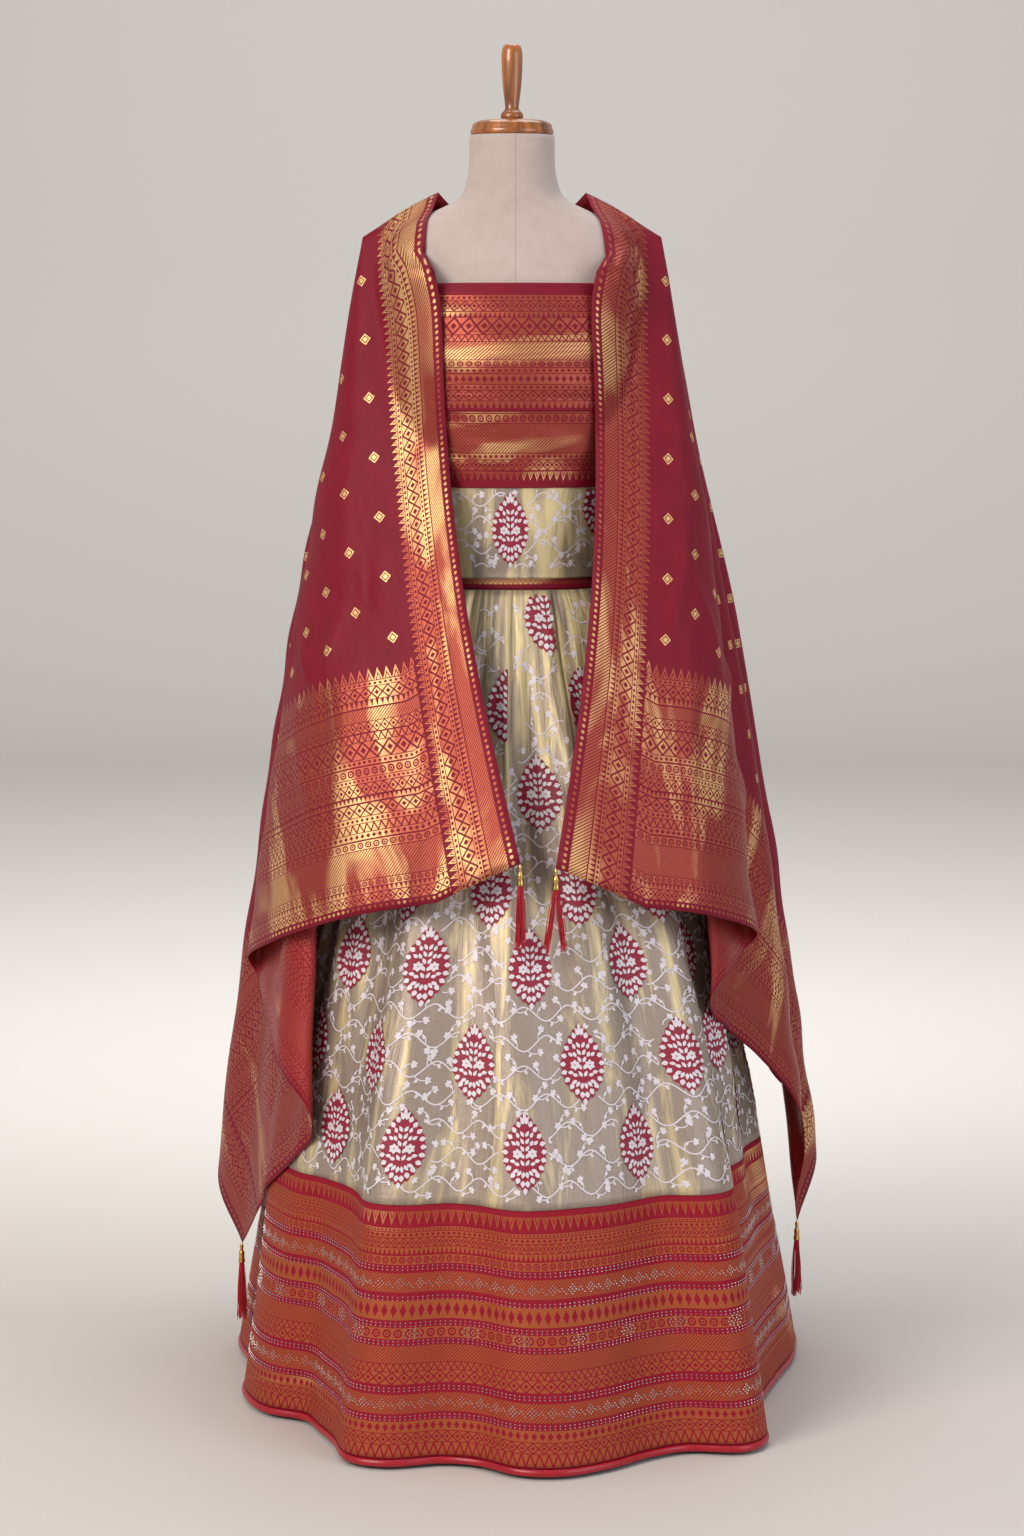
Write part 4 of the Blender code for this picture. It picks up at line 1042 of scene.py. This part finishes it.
medallion = {
    "halfWidth": 0.0255, "halfHeight": 0.0385, "freeWidth": 0.0265, "freeHeight": 0.041, "edge": 66, "scallops": 11,
    "groundLift": 0.0010, "petalLift": 0.0016, "wrapGroundLift": 0.0005, "wrapPetalLift": 0.0011,
}


def medallionRim(turn, scale=1.0):
    # oval drawn out to a point above and below, widest a little below its middle
    up = math.cos(turn)
    y = medallion["halfHeight"] * (up + 0.10 * up ** 5 * abs(up))
    taper = (1 - 0.16 * max(0.0, up)) * (1 - 0.16 * abs(up) ** 3)
    return math.sin(turn) * medallion["halfWidth"] * taper * scale, y * scale


def medallionShapes():
    ground, rings = [], (0.0, 0.3, 0.6, 0.82, 1.0)
    for low, high in zip(rings, rings[1:]):
        for k in range(medallion["edge"]):
            corners = []
            for ring, step in ((low, k), (high, k), (high, k + 1), (low, k + 1)):
                turn = 2 * math.pi * step / medallion["edge"]
                wave = 0.075 * (abs(math.sin(medallion["scallops"] * turn)) - 0.5)
                scallop = 1 + wave if ring == 1.0 else 1.0
                corners.append(medallionRim(turn, ring * scallop))
            ground.append(corners if low else corners[:3])
    petals = []
    for k in range(22):  # outer ring, a petal in each scallop
        turn = 2 * math.pi * (k + 0.5) / 22
        x, y = medallionRim(turn, 0.76)
        petals.append(leafShape(x, y, math.atan2(x / 0.0245, y / 0.038), 0.0078, 0.0056))
    for side in (-1, 1):
        for k in range(6):  # round flower each side of the middle
            turn = 2 * math.pi * k / 6
            x, y = side * 0.0088 + 0.0006 * math.sin(turn), -0.0015 + 0.0006 * math.cos(turn)
            petals.append(leafShape(x, y, turn, 0.0056, 0.0044))
        for k in range(5):  # rows of petals rising from the stem
            petals.append(leafShape(side * 0.0010, -0.0150 + 0.0082 * k, side * 0.55, 0.0080, 0.0040))
        for x, y, turn in (
            (0.0065, 0.0075, 0.5), (0.0105, 0.0085, 0.9), (0.0070, 0.0165, 0.4), (0.0062, -0.0140, 1.2),
            (0.0110, -0.0100, 1.5)
        ):
            petals.append(leafShape(side * x, y, side * turn, 0.0070, 0.0042))
        for k in range(3):  # drops fanned out below
            petals.append(
                leafShape(
                    side * (0.0014 + 0.0030 * k), -0.0215 + 0.0012 * k, side * (2.90 - 0.45 * k), 0.0080,
                    0.0042
                )
            )
        petals.append(leafShape(side * 0.0015, 0.0345, side * 0.55, 0.0075, 0.0032))
    petals.append(leafShape(0, -0.0395, math.pi, 0.0085, 0.0052))
    petals.append(leafShape(0, 0.0360, 0.0, 0.0100, 0.0042))
    return ground, petals


def stemShape(path, width):
    # ribbon of quads along a path
    left, right = [], []
    for k, (x, y) in enumerate(path):
        ahead, behind = path[min(k + 1, len(path) - 1)], path[max(k - 1, 0)]
        dx, dy = ahead[0] - behind[0], ahead[1] - behind[1]
        size = math.hypot(dx, dy) or 1.0
        left.append((x - dy / size * width / 2, y + dx / size * width / 2))
        right.append((x + dy / size * width / 2, y - dx / size * width / 2))
    return [[right[k], right[k + 1], left[k + 1], left[k]] for k in range(len(path) - 1)]


def growPath(x, y, turn, bend, length, pace=0.0045):
    # turn is measured from straight up, towards +x; bend is the turn for each metre
    path = [(x, y)]
    for k in range(max(2, round(length / pace))):
        turn += bend(k * pace) * pace
        x, y = x + math.sin(turn) * pace, y + math.cos(turn) * pace
        path.append((x, y))
    return path, turn


vine = {"pitch": 0.056, "rise": 0.0085, "rowSpacing": 0.033, "lift": 0.0009, "wrapLift": 0.0005}


def growVine(rng):
    # one length of a running vine: a waving stem, with curled branches above and below it
    def wave(x):
        return vine["rise"] * math.sin(2 * math.pi * x / vine["pitch"])

    spots = [vine["pitch"] * (k / 14 - 0.5) for k in range(15)]
    shapes = stemShape([(x, wave(x)) for x in spots], 0.0016)
    for share, way in ((-0.42, 1), (-0.17, -1), (0.08, 1), (0.33, -1)):
        x = vine["pitch"] * (share + rng.uniform(-0.03, 0.03))
        side = rng.choice((-1, 1))
        curl = rng.uniform(70, 135) * side
        start = -0.5 * side + (math.pi if way < 0 else 0)
        branch, turn = growPath(x, wave(x), start, lambda at: way * curl, rng.uniform(0.012, 0.020), 0.003)
        shapes += stemShape(branch, 0.0013)
        x, y = branch[-1]
        for tilt, length in ((-1.2, 0.0052), (-0.4, 0.0064), (0.4, 0.0064), (1.2, 0.0052)):
            shapes.append(leafShape(x, y, turn + tilt, length, 0.0038))
        x, y = branch[2]
        shapes.append(leafShape(x, y, start + 1.3 * side, 0.0058, 0.0036))
    return shapes


def layShapes(points, faces, shapes, surface, lift, keep=None):
    # puts flat outlines on a surface
    for shape in shapes:
        if keep and not all(keep(x, y) for x, y in shape):
            continue
        start = len(points)
        points.extend(tuple(surface(x, y, lift)) for x, y in shape)
        faces.append(tuple(range(start, start + len(shape))))


def figurePiece(name, points, faces, material, slot):
    mesh = bpy.data.meshes.new(name)
    mesh.from_pydata(points, [], faces)
    mesh.shade_smooth()
    piece = addPiece(name, mesh)
    bm = bmesh.new()
    bm.from_mesh(mesh)
    for face in bm.faces:
        middle = face.calc_center_median()
        if face.normal.dot(Vector((middle.x, middle.y, 0))) < 0:
            face.normal_flip()
    bm.to_mesh(mesh)
    bm.free()
    wear(piece, material)
    carry(piece, slot)
    return piece


rng = random.Random(21)
vines = [growVine(rng) for _ in range(12)]
groundShapes, petalShapes = medallionShapes()
silverPoints, silverFaces, crimsonPoints, crimsonFaces = [], [], [], []
medallionRows = (  # height, front medallion's reach to the right, spacing: read off the photograph
    (0.989, 0.038, 0.120), (0.884, -0.005, 0.120), (0.780, 0.033, 0.110), (0.670, -0.026, 0.109),
    (0.580, 0.022, 0.128), (0.469, -0.049, 0.134), (0.372, 0.015, 0.146),
)


def girthAt(z):
    return sum(
        (skirtPoint(2 * math.pi * (k + 1) / 180, z) - skirtPoint(2 * math.pi * k / 180, z)).length
        for k in range(180)
    )


medallionPlaces = []
for z, reach, spacing in medallionRows:
    count = max(5, round(girthAt(z) / spacing))
    start = math.asin(reach / skirtRadius(0, z))
    for k in range(count):
        medallionPlaces.append((start + 2 * math.pi * k / count, z))


def skirtSurface(angle0, z0):
    radius = skirtRadius(angle0, z0)
    return lambda x, y, lift: skirtPoint(angle0 + x / radius, z0 + y, cloth["skirtWall"] + lift)


def onPleat(angle0, z0):
    # near the waist a figure ends where its pleat's edge folds under
    if z0 < 0.80:
        return lambda x, y: levels["seam"] + 0.003 < z0 + y < levels["skirtTop"] - 0.002
    radius = skirtRadius(angle0, z0)
    pleat = math.floor(angle0 / (2 * math.pi) * skirtCut["pleats"])

    def keep(x, y):
        turn = (angle0 + x / radius) / (2 * math.pi) * skirtCut["pleats"]
        return pleat + 0.01 < turn < pleat + skirtCut["pleatFace"] and z0 + y < levels["skirtTop"] - 0.002

    return keep


def offMedallions(places, angle0, z0, radius, keep):
    # a test for points that keep off the medallions and pass keep as well
    near = [
        (
            ((a - angle0 + math.pi) % (2 * math.pi) - math.pi) * radius, h - z0
        ) for a, h in places if abs(h - z0) < 0.09
    ]
    wide, tall = medallion["freeWidth"], medallion["freeHeight"]
    return lambda x, y: all(
        ((x - mx) / wide) ** 2 + ((y - my) / tall) ** 2 > 1 for mx, my in near
    ) and keep(x, y)


for angle, z in medallionPlaces:
    surface, keep = skirtSurface(angle, z), onPleat(angle, z)
    layShapes(crimsonPoints, crimsonFaces, groundShapes, surface, medallion["groundLift"], keep)
    layShapes(silverPoints, silverFaces, petalShapes, surface, medallion["petalLift"], keep)
vineRow, z = 0, levels["seam"] + 0.024
while z < levels["skirtTop"] - 0.02:
    girth = girthAt(z)
    count = max(9, round(girth / vine["pitch"]))
    for k in range(count):
        angle = 2 * math.pi * (k + 0.5 * (vineRow % 2)) / count
        inPleat, radius = onPleat(angle, z), skirtRadius(angle, z)
        reach = 2 * math.pi / count / vine["pitch"]  # so that each length joins the next

        def surface(x, y, lift):
            return skirtPoint(angle + x * reach, z + y, cloth["skirtWall"] + lift)

        clear = offMedallions(medallionPlaces, angle, z, radius, inPleat)
        layShapes(silverPoints, silverFaces, rng.choice(vines), surface, vine["lift"], clear)
    vineRow += 1
    z += vine["rowSpacing"]


# the midriff's figures
wrap = {
    "radius": 0.12, "medallions": 6, "turn": -0.02, "heights": (1.0945, 1.128),
    "vineRows": (1.044, 1.073, 1.102, 1.131), "vines": 13,
}


def midriffSurface(angle0, z0):
    out = tierOut["midriff"] + bands["seat"] + cloth["thinWall"]

    def onWrap(x, y, lift):
        angle, z = angle0 + x / wrap["radius"], z0 + y
        return atAngle(formRadius(angle, z) + out + bodiceWrinkles("midriff", angle, z) + lift, angle, z)

    return onWrap


def inWrap(z0):
    # between the waistband and the tier above
    return lambda x, y: levels["bandTop"] + 0.001 < z0 + y < levels["lowerBottom"] - 0.001


wrapPlaces = [
    (
        wrap["turn"] + 2 * math.pi * k / wrap["medallions"], wrap["heights"][k % 2]
    ) for k in range(wrap["medallions"])
]
wrapSilver, wrapSilverFaces, wrapCrimson, wrapCrimsonFaces = [], [], [], []
for angle, z in wrapPlaces:
    surface, keep = midriffSurface(angle, z), inWrap(z)
    layShapes(wrapCrimson, wrapCrimsonFaces, groundShapes, surface, medallion["wrapGroundLift"], keep)
    layShapes(wrapSilver, wrapSilverFaces, petalShapes, surface, medallion["wrapPetalLift"], keep)
for row, z in enumerate(wrap["vineRows"]):
    for k in range(wrap["vines"]):
        angle = 2 * math.pi * (k + 0.5 * (row % 2)) / wrap["vines"]
        clear = offMedallions(wrapPlaces, angle, z, wrap["radius"], inWrap(z))
        layShapes(
            wrapSilver, wrapSilverFaces, rng.choice(vines), midriffSurface(angle, z), vine["wrapLift"], clear
        )
skirtFigures = [
    figurePiece("crimsonMedallions", crimsonPoints, crimsonFaces, crimsonThread, "tissue"),
    figurePiece("silverVines", silverPoints, silverFaces, silverThread, "tissue"),
]
wrapFigures = [
    figurePiece("midriffMedallions", wrapCrimson, wrapCrimsonFaces, crimsonThread, "tissue"),
    figurePiece("midriffVines", wrapSilver, wrapSilverFaces, silverThread, "tissue"),
]
print("woven figures laid", len(silverFaces), len(crimsonFaces))


# stones of the border: faceted, set in double rows, stepped diamonds and clusters
stone = {
    "radius": 0.0011, "height": 0.0009, "sunk": 0.0002, "spacing": 0.0060, "rowGap": 0.0036,
    "doubleRows": (
        0.233, 0.198, 0.168, 0.147, 0.093, 0.060
    ), "stepRows": (0.2155, 0.0765), "stepPitch": 0.024,
    "clusterRow": 0.1575, "clusterPitch": 0.072,
}


def angleAt(table, length):
    spots, lengths = table
    length = length % lengths[-1]
    low, high = 0, len(lengths) - 1
    while high - low > 1:
        middle = (low + high) // 2
        low, high = (middle, high) if lengths[middle] <= length else (low, middle)
    share = (length - lengths[low]) / (lengths[high] - lengths[low])
    return spots[low] + (spots[high] - spots[low]) * share


stonePoints, stoneFaces = [], []


def setStone(angle, z):
    base = skirtPoint(angle, z, cloth["skirtWall"] - stone["sunk"])
    side = (skirtPoint(angle + 0.004, z) - skirtPoint(angle - 0.004, z)).normalized()
    up = (skirtPoint(angle, z + 0.004) - skirtPoint(angle, z - 0.004)).normalized()
    out = side.cross(up).normalized()
    if out.dot(Vector((base.x, base.y, 0))) < 0:
        out = -out
    start = len(stonePoints)
    for k in range(6):
        turn = math.pi * k / 3
        stonePoints.append(tuple(base + (side * math.cos(turn) + up * math.sin(turn)) * stone["radius"]))
    for k in range(6):
        turn = math.pi * (k + 0.5) / 3
        rim = (side * math.cos(turn) + up * math.sin(turn)) * stone["radius"] * 0.5
        stonePoints.append(tuple(base + rim + out * stone["height"]))
    for k in range(6):
        n = (k + 1) % 6
        stoneFaces.append((start + k, start + n, start + 6 + k))
        stoneFaces.append((start + n, start + 6 + n, start + 6 + k))
    stoneFaces.append(tuple(range(start + 6, start + 12)))


for z in stone["doubleRows"]:
    table = arcAngles(z)
    count = round(table[1][-1] / stone["spacing"])
    for k in range(count):
        angle = angleAt(table, table[1][-1] * k / count)
        setStone(angle, z + stone["rowGap"] / 2)
        setStone(angle, z - stone["rowGap"] / 2)
for z in stone["stepRows"]:  # diamonds of nine, joined by steps of two and two
    table = arcAngles(z)
    count = round(table[1][-1] / stone["stepPitch"])
    for k in range(count):
        middle = table[1][-1] * k / count
        for i in (-1, 0, 1):
            for j in (-1, 0, 1):
                setStone(angleAt(table, middle + 0.0024 * (i - j)), z + 0.0026 * (i + j))
        for step in (1, 2):
            setStone(angleAt(table, middle + 0.005 + 0.0030 * step), z - 0.0045 + 0.0030 * step)
            setStone(angleAt(table, middle + 0.005 + 0.0030 * step + 0.005), z + 0.0015 - 0.0030 * step)
table = arcAngles(stone["clusterRow"])
count = round(table[1][-1] / stone["clusterPitch"])
for k in range(count):
    middle = table[1][-1] * k / count
    for ring, number in ((0.0, 1), (0.0042, 6), (0.0080, 10)):
        for n in range(number):
            turn = 2 * math.pi * n / number
            wide, tall = ring * 1.3 * math.cos(turn), ring * 0.8 * math.sin(turn)
            setStone(angleAt(table, middle + wide), stone["clusterRow"] + tall)
stones = figurePiece("borderStones", stonePoints, stoneFaces, cutStone, "brocade")
stones.data.shade_flat()
print("stones set", len(stoneFaces))


round(girthAt(levels["seam"]), 3)


# dupatta
def drapeGrid():
    # rows fan out from the shoulder tip, as the folds do; near the tip only every 2nd, 4th or 8th column is kept
    inset, station = drape["tipInset"], drape["tipStation"]
    rows = [0.0, 0.012, 0.026, 0.042, 0.06, 0.08] + steps(0.10, 1.0, 76)
    strip = steps(0.0, inset, 12)
    patches = []
    for side in (-1, 1):
        patches.append(([[(side * (station + hang * f), t) for t in strip] for f in rows], None))
        stops = steps(inset, drape["width"], 112) + steps(drape["width"], drape["width"] + hang, 96)[1:]
        fan, strides = [], []
        for f in rows:
            ring = []
            for along in stops:
                if along <= drape["width"] + 1e-9:
                    down, across = hang, along - inset
                else:
                    down, across = drape["width"] + hang - along, drop
                ring.append((side * (station + down * f), inset + across * f))
            fan.append(ring)
            strides.append(16 if f < 0.025 else 8 if f < 0.07 else 4 if f < 0.16 else 2 if f < 0.36 else 1)
        patches.append((fan, strides))
    stations = steps(-station, station, 44)
    down = strip[:-1] + [inset + drop * f for f in rows]
    patches.append(([[(s, t) for s in stations] for t in down], None))
    return patches


creases = (  # side, |s|, t, half length, half width, turn, height: read off the photograph's puckers
    (-1, 0.72, 0.200, 0.045, 0.010, 0.5, 0.007), (-1, 0.73, 0.245, 0.040, 0.010, -0.4, 0.007),
    (-1, 0.80, 0.225, 0.060, 0.012, 0.1, -0.004), (-1, 0.70, 0.310, 0.050, 0.012, 0.7, 0.005),
    (-1, 0.86, 0.270, 0.070, 0.014, -0.2, 0.004), (-1, 0.66, 0.140, 0.060, 0.012, 0.2, 0.004),
    (1, 0.70, 0.190, 0.050, 0.010, 0.5, 0.006), (1, 0.74, 0.250, 0.045, 0.010, -0.5, 0.007),
    (1, 0.88, 0.300, 0.050, 0.012, 0.9, 0.006), (1, 0.66, 0.130, 0.060, 0.012, -0.2, 0.004),
    (1, 0.83, 0.180, 0.060, 0.013, 0.1, -0.004),
)


def puckerAt(s, t):
    # soft creases where the gold end is stiffer than the field, and drag lines from the shoulders
    end = drape["halfLength"] - abs(s)
    lift = 0.0012 * math.sin(41 * t + 5 * math.sin(6 * s)) * ease(0.05, 0.3, abs(s) - drape["tipStation"])
    lift += 0.0010 * math.sin(53 * s + 4 * math.sin(7 * t)) * ease(0.12, 0.3, t)
    for crease in creases:
        side, along, across, length, width, turn, height = crease
        ds, dt = abs(s) - along, t - across
        if s * side < 0 or abs(ds) > 0.2 or abs(dt) > 0.2:
            continue
        lengthwise = ds * math.cos(turn) + dt * math.sin(turn)
        sideways = -ds * math.sin(turn) + dt * math.cos(turn)
        lift += height * math.exp(-((lengthwise / length) ** 2) - (sideways / width) ** 2)
    return lift * ease(0.0, 0.02, t) * ease(0.0, 0.015, end + 0.006)


def grownShell(clearance, rest):
    # the dressed form, grown by the clearance that the drape keeps
    shell = bmesh.new()
    heights = steps(
        0.08, levels["skirtTop"] - 0.002, 110
    ) + steps(levels["skirtTop"], 1.40, 40) + steps(1.405, 1.55, 50)
    rings = [
        [
            shell.verts.new(atAngle(dressedRadius(2 * math.pi * k / 224, z), 2 * math.pi * k / 224, z))
            for k in range(224)
        ]
        for z in heights
    ]
    for low, high in zip(rings, rings[1:]):
        for k in range(224):
            n = (k + 1) % 224
            shell.faces.new((low[k], low[n], high[n], high[k]))
    shell.normal_update()
    for v in shell.verts:
        v.co += v.normal * (clearance + (rest - clearance) * ease(1.365, 1.425, v.co.z))
    tree = BVHTree.FromBMesh(shell)
    shell.free()
    return tree


def hangDrape():
    places, faces, index = [], [], {}

    def at(cell):
        key = (round(cell[0], 5), round(cell[1], 5))
        if key not in index:
            index[key] = len(places)
            places.append(key)
        return index[key]

    for patch, strides in drapeGrid():
        for row in range(len(patch) - 1):
            low, high = patch[row], patch[row + 1]
            coarse = strides[row] if strides else 1
            fine = strides[row + 1] if strides else 1
            for k in range(0, len(low) - 1, coarse):
                last = min(k + coarse, len(low) - 1)
                loop = [at(low[k]), at(low[last])] + [
                    at(high[n]) for n in sorted({*range(k, last, fine), last}, reverse=True)
                ]
                unique = [v for n, v in enumerate(loop) if v != loop[n - 1]]
                if len(unique) > 2:
                    faces.append(unique)
    mesh = bpy.data.meshes.new("silkDupatta")
    mesh.from_pydata([tuple(drapePoint(s, t)) for s, t in places], [], faces)
    bm = bmesh.new()
    bm.from_mesh(mesh)
    bm.verts.ensure_lookup_table()
    shell = grownShell(drape["clearance"], drape["restClearance"])
    hung = [v.co.copy() for v in bm.verts]
    around = [[e.other_vert(v).index for e in v.link_edges] for v in bm.verts]

    def settle():
        for v in bm.verts:
            near, normal, _, _ = shell.find_nearest(v.co, 0.08)
            if near is not None and (v.co - near).dot(normal) < 0:
                v.co = near + normal * 0.0001

    for _ in range(3):
        settle()
        lifts = [v.co - hung[v.index] for v in bm.verts]
        for _ in range(12):
            lifts = [
                lift * 0.4 + sum((lifts[n] for n in ring), Vector()) * (0.6 / len(ring))
                for lift, ring in zip(lifts, around)
            ]
        for v, lift in zip(bm.verts, lifts):
            v.co = hung[v.index] + lift
    settle()
    bmesh.ops.recalc_face_normals(bm, faces=bm.faces)
    bm.normal_update()
    middles = [(f.normal, f.calc_center_median()) for f in bm.faces]
    if sum(normal.dot(Vector((at.x, at.y, 0))) for normal, at in middles) <= 0:
        bmesh.ops.reverse_faces(bm, faces=bm.faces)
        bm.normal_update()
    normals = [v.normal.copy() for v in bm.verts]
    for v, normal in zip(bm.verts, normals):
        v.co += normal * puckerAt(*places[v.index])
    settle()
    layer = bm.loops.layers.uv.new("cloth")
    for face in bm.faces:
        for loop in face.loops:
            loop[layer].uv = places[loop.vert.index]
    bm.to_mesh(mesh)
    bm.free()
    mesh.shade_smooth()
    return addPiece("silkDupatta", mesh)


dupatta = hangDrape()
wear(dupatta, dupattaSilk, dupattaReverse)
giveWall(dupatta, cloth["thinWall"], 0.0, 1)
carry(dupatta, "silk", "dupatta")
print("dupatta hung")


# tassels
tasselCap = (
    (0.0030, 0.0), (0.0042, 0.0006), (0.0043, 0.0026), (0.0041, 0.0034), (0.0036, 0.0070), (0.0034, 0.0110),
    (0.0038, 0.0120), (0.0038, 0.0130), (0.0027, 0.0150), (0.0020, 0.0178), (0.0022, 0.0195), (0.0026, 0.0215),
    (0.0020, 0.0238), (0.0008, 0.0260),
)
tassel = {
    "threads": 62, "length": 0.073, "thickness": 0.00042, "neck": 0.0031, "sway": 0.0022, "goldenAngle": 2.39996,
}
tassels = []
for name, seed in (("frontLeft", 3), ("frontRight", 5), ("sideLeft", 7), ("sideRight", 11)):
    packed = "tassel_" + "".join("_" + c.lower() if c.isupper() else c for c in name)
    low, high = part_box(packed + "_cap")
    x, y, foot = (low[0] + high[0]) / 2, (low[1] + high[1]) / 2, low[2]
    cap = turnUp(name + "TasselCap", tasselCap, foot, 24, castBrass, "brass", packed + "_cap", (x, y))
    rng = random.Random(seed)
    curve = bpy.data.curves.new(name + "TasselThreads", "CURVE")
    curve.dimensions = "3D"
    curve.bevel_depth = tassel["thickness"]
    curve.bevel_resolution = 0
    curve.resolution_u = 4
    for k in range(tassel["threads"]):
        turn, ring = k * tassel["goldenAngle"], math.sqrt((k + 0.5) / tassel["threads"])
        start = Vector((tassel["neck"] * ring * math.cos(turn), tassel["neck"] * ring * math.sin(turn), 0))
        spread = 1.7 + 0.9 * rng.random()
        sway = Vector((rng.uniform(-1, 1), rng.uniform(-1, 1), 0)) * tassel["sway"]
        lean = 0.0  # the front right tassel is parted into two bunches, as in the photograph
        if name == "frontRight":
            lean = 0.006 if start.x > 0 else -0.008
        reach = tassel["length"] * rng.uniform(0.86, 1.04)
        spline = curve.splines.new("BEZIER")
        spline.bezier_points.add(2)
        for point, share in zip(spline.bezier_points, (0.0, 0.5, 1.0)):
            side = start * (1 + (spread - 1) * share) + sway * math.sin(math.pi * share)
            side += Vector((lean * share, 0, 0))
            point.co = Vector((x, y, foot - 0.0004 - reach * share)) + side
            point.handle_left_type = point.handle_right_type = "AUTO"
    threads = addPiece(name + "TasselThreads", curve)
    bpy.ops.object.select_all(action="DESELECT")
    threads.select_set(True)
    bpy.context.view_layer.objects.active = threads
    bpy.ops.object.convert(target="MESH")
    threads = bpy.context.object
    wear(threads, tasselSilk)
    carry(threads, "thread", packed + "_strands")
    tassels += [cap, threads]
print("tassels made")


# floor, backdrop and soft light from the left front
room = {"size": 14.0, "turnRadius": 1.6, "turnSteps": 12, "wallHeight": 8}
floorMaterial, floorTree, floorShader = newMaterial("paleFloor")
floorPlace = addNode(floorTree, "ShaderNodeTexCoord").outputs["Object"]
floorNoise = addNode(
    floorTree, "ShaderNodeTexNoise", {"Vector": floorPlace, "Scale": 3.0 / room["size"], "Detail": 2.0}
)
floorColour = addNode(
    floorTree, "ShaderNodeMixRGB",
    {"Fac": floorNoise.outputs["Fac"], "Color1": toLinear("#d3cfcb"), "Color2": toLinear("#ccc8c4")},
)
floorTree.links.new(floorColour.outputs["Color"], floorShader.inputs["Base Color"])
floorShader.inputs["Roughness"].default_value = 0.6
bpy.ops.object.select_all(action="DESELECT")
bpy.ops.mesh.primitive_plane_add(size=room["size"], location=(0, 0, -0.0005))
floor = bpy.context.object
floor.name = "studioSweep"
bpy.ops.object.mode_set(mode="EDIT")
bpy.ops.mesh.select_all(action="DESELECT")
bpy.ops.object.mode_set(mode="OBJECT")
for edge in floor.data.edges:
    edge.select = all(floor.data.vertices[v].co.y > 0 for v in edge.vertices)
bpy.ops.object.mode_set(mode="EDIT")
bpy.ops.mesh.select_mode(type="EDGE")
for k in range(room["turnSteps"]):
    turn = math.pi / 2 * (k + 0.5) / room["turnSteps"]
    step = room["turnRadius"] * math.pi / (2 * room["turnSteps"])
    bpy.ops.mesh.extrude_region_move(
        TRANSFORM_OT_translate={"value": (0, step * math.cos(turn), step * math.sin(turn))}
    )
bpy.ops.mesh.extrude_region_move(TRANSFORM_OT_translate={"value": (0, 0, room["wallHeight"])})
bpy.ops.object.mode_set(mode="OBJECT")
bpy.ops.object.shade_smooth()
bpy.ops.object.transform_apply(location=True)
wear(floor, floorMaterial)

bpy.context.scene.view_settings.view_transform = "Standard"
world = bpy.data.worlds.new("studio")
bpy.context.scene.world = world
world.use_nodes = True
world.node_tree.nodes["Background"].inputs["Color"].default_value = toLinear("#f1efec")
world.node_tree.nodes["Background"].inputs["Strength"].default_value = 0.5
for name, place, target, size, power, colour in (
    ("keyLight", (-2.6, -3.2, 2.9), (0, 0, 0.9), 2.2, 150, "#fff6ec"),
    ("fillLight", (3.0, -2.6, 1.8), (0, 0, 0.8), 2.6, 50, "#f3f5ff"),
    ("topLight", (0.2, 0.8, 3.9), (0, 0, 1.0), 2.4, 50, "#ffffff"),
    ("backdropLight", (0.0, 1.2, 3.6), (0, 8.0, 1.9), 3.0, 210, "#ffffff"),
):
    lamp = bpy.data.lights.new(name, "AREA")
    lamp.size, lamp.energy, lamp.color = size, power, toLinear(colour)[:3]
    light = bpy.data.objects.new(name, lamp)
    bpy.context.scene.collection.objects.link(light)
    light.location = place
    light.rotation_euler = (Vector(target) - Vector(place)).to_track_quat("-Z", "Y").to_euler()
print("studio made")
